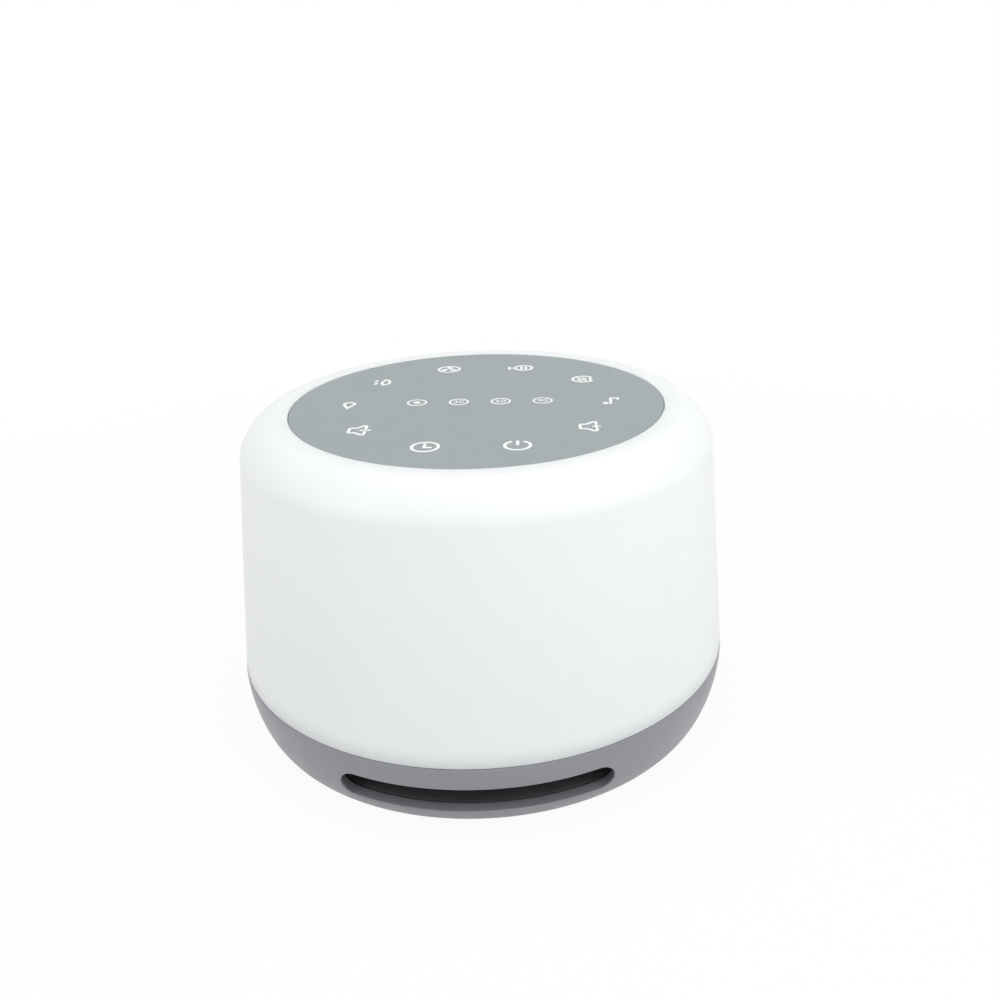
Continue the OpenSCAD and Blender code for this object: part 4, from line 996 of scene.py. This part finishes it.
def moved(points, x, y):
    return [(x + px, y + py) for px, py in points]


def circle(r, steps=40, x=0, y=0):
    return arc(x, y, r, 0, 360, steps)[:-1]


# A sign is a list of lines, each with its points and whether it is open, closed or filled.

def sign_clock():
    return [(circle(2.7), "closed"), ([(-0.15, 1.6), (-0.15, -0.4), (1.15, -0.4)], "open")]


def sign_power():
    return [(arc(0, 0, 2.6, 122, 418, 36), "open"), ([(0, 2.45), (0, 0.45)], "open")]


def sign_horn(more):
    """A loudspeaker horn, its mouth open for a minus or a plus."""
    upper = arc(0.85, 2.45, 0.45, 0, 130, 6) + [(-0.75, 1.45)] + arc(-1.7, 1.0, 0.45, 90, 180, 4)
    horn = [(1.3, 1.5 if more else 1.0)] + upper
    horn += [(x, -y) for x, y in reversed(horn)]
    mark = ([(0.35, 0), (2.15, 0)], "open")
    if more:
        arm, half = 0.95, 0.27
        corner = [(arm, half), (half, half), (half, arm)]
        plus = [spot for turn in range(4) for spot in turned_points(corner, 90 * turn)]
        mark = (moved(plus, 1.25, 0), "filled")
    return [(horn, "open"), mark]


def sign_bulb():
    return [(moved(arc(0, 0.75, 1.2, -28, 208, 22) + [(0, -2.3)], 0.5, 0), "closed")]


def sign_note():
    head = [(x * 0.66, y * 0.8) for x, y in circle(1, 24)]
    stem = [(-0.55, -2.1), (-0.3, 1.9), (1.25, 1.9), (1.25, 0.9)]
    return [(moved(head, -1.65, -1.7), "filled"), (stem, "open")]


def sign_leaf():
    """A leaning leaf with drops beside it."""
    leaf = arc(-1.6, 0.4, 3.2, -38, 38, 14) + arc(3.2, -0.9, 3.6, 142, 198, 14)
    drops = [([(-1.7, 1.9), (-2.1, 0.9)], "open"), ([(-1.5, -0.2), (-1.9, -1.2)], "open")]
    return [(turned_points(leaf, 12), "closed")] + drops


def sign_fan():
    """Three blades in a ring."""
    blade = arc(1.15, 0, 0.85, -150, 60, 10) + [(0.45, 0.3)]
    return [(circle(2.6), "closed")] + [(turned_points(blade, 120 * k + 90), "filled") for k in range(3)]


def sign_hum():
    """A short bar that sends a beat into a ring."""
    bars = [([(x, -1.0), (x, 1.0)], "open") for x in (-3.4, -0.4, 0.7)]
    return [([(-2.65, 0), (-2.5, 0)], "open"), (circle(2.15, 32, 0.15), "closed")] + bars


def sign_stream():
    """Wavy lines in an open ring."""
    waves = [([(x + 0.3 * math.sin(4 * y), y) for y in [-1.3 + 2.6 * i / 20 for i in range(21)]], "open")
             for x in (-1.2, 0.0)]
    return [(arc(-0.3, 0, 2.5, 35, 325, 36), "open")] + waves + [([(1.4, -0.8), (1.4, 0.8)], "open")]


def turned_points(points, degrees):
    a = math.radians(degrees)
    return [(x * math.cos(a) - y * math.sin(a), x * math.sin(a) + y * math.cos(a)) for x, y in points]


def printed(points, x, y):
    """A sign's points at their place in the print, which sits a hair off centre and a hair turned."""
    return moved(moved(points, *turned_points([(x, y)], PRINT_TURN)[0]), *PRINT_CENTRE)


def sign_spots():
    """Every sign of the ring, counted anticlockwise from the right."""
    signs = [sign_note(), sign_stream(), sign_hum(), sign_fan(), sign_leaf(), sign_bulb(),
             sign_horn(False), sign_clock(), sign_power(), sign_horn(True)]
    turns = [2 * math.pi * i / len(signs) for i in range(len(signs))]
    spots = [(SIGN_RING_R * math.cos(turn), SIGN_RING_R * math.sin(turn)) for turn in turns]
    return [(x, y, sign) for (x, y), sign in zip(spots, signs)]


def mark_numbers(made, spots):
    """Small numbers for minutes in the timer rings."""
    for (x, y), label in zip(spots, ("30", "60", "90")):
        curve = bpy.data.curves.new("minutes", "FONT")
        curve.body = label
        curve.size = MARK_TEXT * MM
        curve.align_x = "CENTER"
        curve.align_y = "CENTER"
        curve.extrude = SIGN_T / 2 * MM
        text = bpy.data.objects.new("minutes", curve)
        bpy.context.scene.collection.objects.link(text)
        bpy.context.view_layer.update()
        mesh = bpy.data.meshes.new_from_object(text.evaluated_get(bpy.context.evaluated_depsgraph_get()))
        mesh.transform(Matrix.Translation((x * MM, y * MM, (PANEL_TOP + SIGN_T / 2 + FOOT_H) * MM)))
        made.from_mesh(mesh)
        bpy.data.objects.remove(text)


def make_signs():
    made = bmesh.new()
    for x, y, strokes in sign_spots():
        for points, kind in strokes:
            outline = printed(points, x, y)
            if kind == "filled":
                plate(made, [Vector(p) for p in outline])
            else:
                stroke(made, outline, SIGN_LINE, kind == "closed")
    marks = [printed([(0, 0)], (i - 1.5) * MARK_PITCH, MARK_Y)[0] for i in range(4)]
    for x, y in marks:
        stroke(made, circle(MARK_R, 36, x, y), MARK_LINE, True)
    plate(made, [Vector(p) for p in circle(MARK_DOT_R, 24, *marks[0])])
    mark_numbers(made, marks[1:])
    bmesh.ops.remove_doubles(made, verts=made.verts, dist=POINT_WELD)
    bmesh.ops.recalc_face_normals(made, faces=made.faces)
    mesh = bpy.data.meshes.new("panel_signs")
    made.to_mesh(mesh)
    made.free()
    mesh.materials.append(sign_white())
    signs = bpy.data.objects.new("panel_signs", mesh)
    bpy.context.scene.collection.objects.link(signs)
    return place(signs, "root", "tape_white")


# ---- Finishes of the pieces that keep their own shape ----

def dress_nodes():
    """Gives every remaining node its finish."""
    white = moulded_white()
    green = board_paint("board_green", paint(38, 104, 66))
    pale = board_paint("board_white", paint(226, 228, 229))
    black, chips, screws = deck_black(), chip_black(), screw_steel()
    lens = lamp_lens()
    finishes = {
        "touch_panel": panel_grey(), "sound_duct": duct_black(), "speaker_deck": black, "main_board": green,
        "board_screws": screws, "board_chips": chips, "board_capacitors": capacitor_can(),
        "board_connectors": connector_white(), "power_inlet": inlet_steel(), "inlet_tongue": chips,
        "speaker_gasket": gasket_foam(), "speaker_surround": surround_rubber(),
        "speaker_frame": pressed_steel("frame_steel", paint(112, 115, 119), 0.38),
        "speaker_cone": cone_paper(), "dust_cap": cone_paper(), "voice_coil": coil_copper(),
        "speaker_spider": spider_cloth(), "speaker_magnet": magnet_ferrite(),
        "speaker_front_plate": pressed_steel("plate_steel", paint(166, 168, 172), 0.3),
        "speaker_yoke": pressed_steel("yoke_steel", paint(170, 172, 176), 0.28),
        "speaker_terminal": terminal_board(), "speaker_screws": screws, "speaker_chamber": white,
        "chamber_screws": screws, "lamp_board": pale, "lamps": lens, "lamp_screws": screws,
        "reflector": white, "panel_tape": tape_white(), "light_mask": black, "touch_board": green,
        "sign_lamps": lens, "touch_chips": chips, "panel_carrier": white, "carrier_screws": screws,
        "panel_ribbon": lead_skin("lead_pale", paint(220, 216, 204)),
        "speaker_lead": lead_skin("lead_red", paint(168, 58, 52)),
        "lamp_lead": lead_skin("lead_light", paint(204, 204, 198)),
    }
    for name, material in finishes.items():
        mesh = nodes[name].data
        mesh.materials.clear()
        mesh.materials.append(material)


# ---- Floor, light and camera ----

FLOOR_REACH = 6
FLOOR_SHARE = 0.93
SHADOW_REACH = (0.07, 0.3)
SOFT_LIGHT = 0.4


def make_floor():
    """A plain white floor that keeps a soft shadow near the object and fades into the background."""
    mesh = bpy.data.meshes.new("floor")
    corners = [(x * FLOOR_REACH, y * FLOOR_REACH, 0) for x, y in ((-1, -1), (1, -1), (1, 1), (-1, 1))]
    mesh.from_pydata(corners, [], [(0, 1, 2, 3)])
    floor = bpy.data.objects.new("floor", mesh)
    bpy.context.scene.collection.objects.link(floor)
    material = bpy.data.materials.new("floor_white")
    material.use_nodes = True
    tree = material.node_tree
    tree.nodes.clear()
    make = tree.nodes.new
    link = tree.links.new
    matt = make("ShaderNodeBsdfDiffuse")
    matt.inputs["Color"].default_value = (0.86, 0.86, 0.86, 1)
    bright = make("ShaderNodeEmission")
    bright.inputs["Strength"].default_value = 1.0
    both = make("ShaderNodeMixShader")
    away = make("ShaderNodeVectorMath")
    away.operation = "LENGTH"
    share = make("ShaderNodeMapRange")
    for socket, number in zip(RANGE_SOCKETS, (*SHADOW_REACH, FLOOR_SHARE, 1.0)):
        share.inputs[socket].default_value = number
    scale = make("ShaderNodeMath")
    scale.operation = "MULTIPLY"
    link(make("ShaderNodeTexCoord").outputs["Object"], away.inputs[0])
    link(away.outputs["Value"], share.inputs["Value"])
    link(seen_directly(tree), scale.inputs[0])
    link(share.outputs["Result"], scale.inputs[1])
    link(scale.outputs[0], both.inputs["Fac"])
    link(matt.outputs[0], both.inputs[1])
    link(bright.outputs[0], both.inputs[2])
    link(both.outputs[0], make("ShaderNodeOutputMaterial").inputs["Surface"])
    mesh.materials.append(material)


def seen_directly(tree):
    """1 for what the camera sees straight on, in a reflection or through glass."""
    ray = tree.nodes.new("ShaderNodeLightPath")
    seen = ray.outputs["Is Camera Ray"]
    for kind in ("Is Glossy Ray", "Is Transmission Ray"):
        either = tree.nodes.new("ShaderNodeMath")
        either.operation = "MAXIMUM"
        tree.links.new(seen, either.inputs[0])
        tree.links.new(ray.outputs[kind], either.inputs[1])
        seen = either.outputs[0]
    return seen


def make_world():
    """White to look at, and a plain soft light from all round."""
    world = bpy.data.worlds.new("studio")
    bpy.context.scene.world = world
    world.use_nodes = True
    tree = world.node_tree
    tree.nodes.clear()
    make = tree.nodes.new
    link = tree.links.new
    both = make("ShaderNodeMixShader")
    for slot, strength in ((1, SOFT_LIGHT), (2, 1.0)):
        light = make("ShaderNodeBackground")
        light.inputs["Color"].default_value = (1, 1, 1, 1)
        light.inputs["Strength"].default_value = strength
        link(light.outputs[0], both.inputs[slot])
    link(seen_directly(tree), both.inputs["Fac"])
    link(both.outputs[0], make("ShaderNodeOutputWorld").inputs["Surface"])


def make_lamp(name, where, size, watts):
    """A soft square lamp that looks at the middle of the object."""
    light = bpy.data.lights.new(name, "AREA")
    light.size = size
    light.energy = watts
    lamp = bpy.data.objects.new(name, light)
    bpy.context.scene.collection.objects.link(lamp)
    lamp.location = where
    middle = Vector((0, 0, BODY_H / 2 * MM))
    lamp.rotation_euler = (middle - Vector(where)).to_track_quat("-Z", "Y").to_euler()


def make_camera():
    """The camera as the photograph has it: its place, its turn, its lens and the shift of its frame."""
    photo_px = 1000
    focal_px = 1067.936
    centre_px = (540.577, 342.189)
    sensor = 36
    place_m = (0.013074, -0.231028, 0.142450 + FOOT_H * MM)
    right = Vector((0.99974049, -0.01126005, -0.01980309))
    up = Vector((0.02197046, 0.24683259, 0.96880905))
    forward = Vector((0.00602079, 0.96899272, -0.24701593))
    data = bpy.data.cameras.new("camera")
    data.sensor_width = sensor
    data.lens = focal_px * sensor / photo_px
    data.shift_x = (photo_px / 2 - centre_px[0]) / photo_px
    data.shift_y = (centre_px[1] - photo_px / 2) / photo_px
    camera = bpy.data.objects.new("camera", data)
    bpy.context.scene.collection.objects.link(camera)
    turn = Matrix((right, up, -forward)).transposed().to_4x4()
    camera.matrix_world = Matrix.Translation(place_m) @ turn
    data.clip_start = 0.01
    data.clip_end = 50
    bpy.context.scene.camera = camera


def make_studio():
    bpy.context.scene.view_settings.view_transform = "Standard"
    make_world()
    make_floor()
    make_lamp("top_lamp", (0.0, 0.05, 0.75), 0.6, 1.9)
    make_lamp("front_lamp", (0.15, -0.4, 0.38), 0.35, 0.5)
    make_lamp("left_lamp", (-0.6, -0.35, 0.4), 0.6, 1.85)
    make_lamp("right_lamp", (0.5, -0.25, 0.3), 0.5, 1.38)


make_camera()
make_studio()
make_drum()
make_base()
make_feet(repeat_tree("on_a_ring", "Count", "Radius"))
make_base_screws(repeat_tree("on_a_grid", "Width", "Depth"))
make_signs()
dress_nodes()
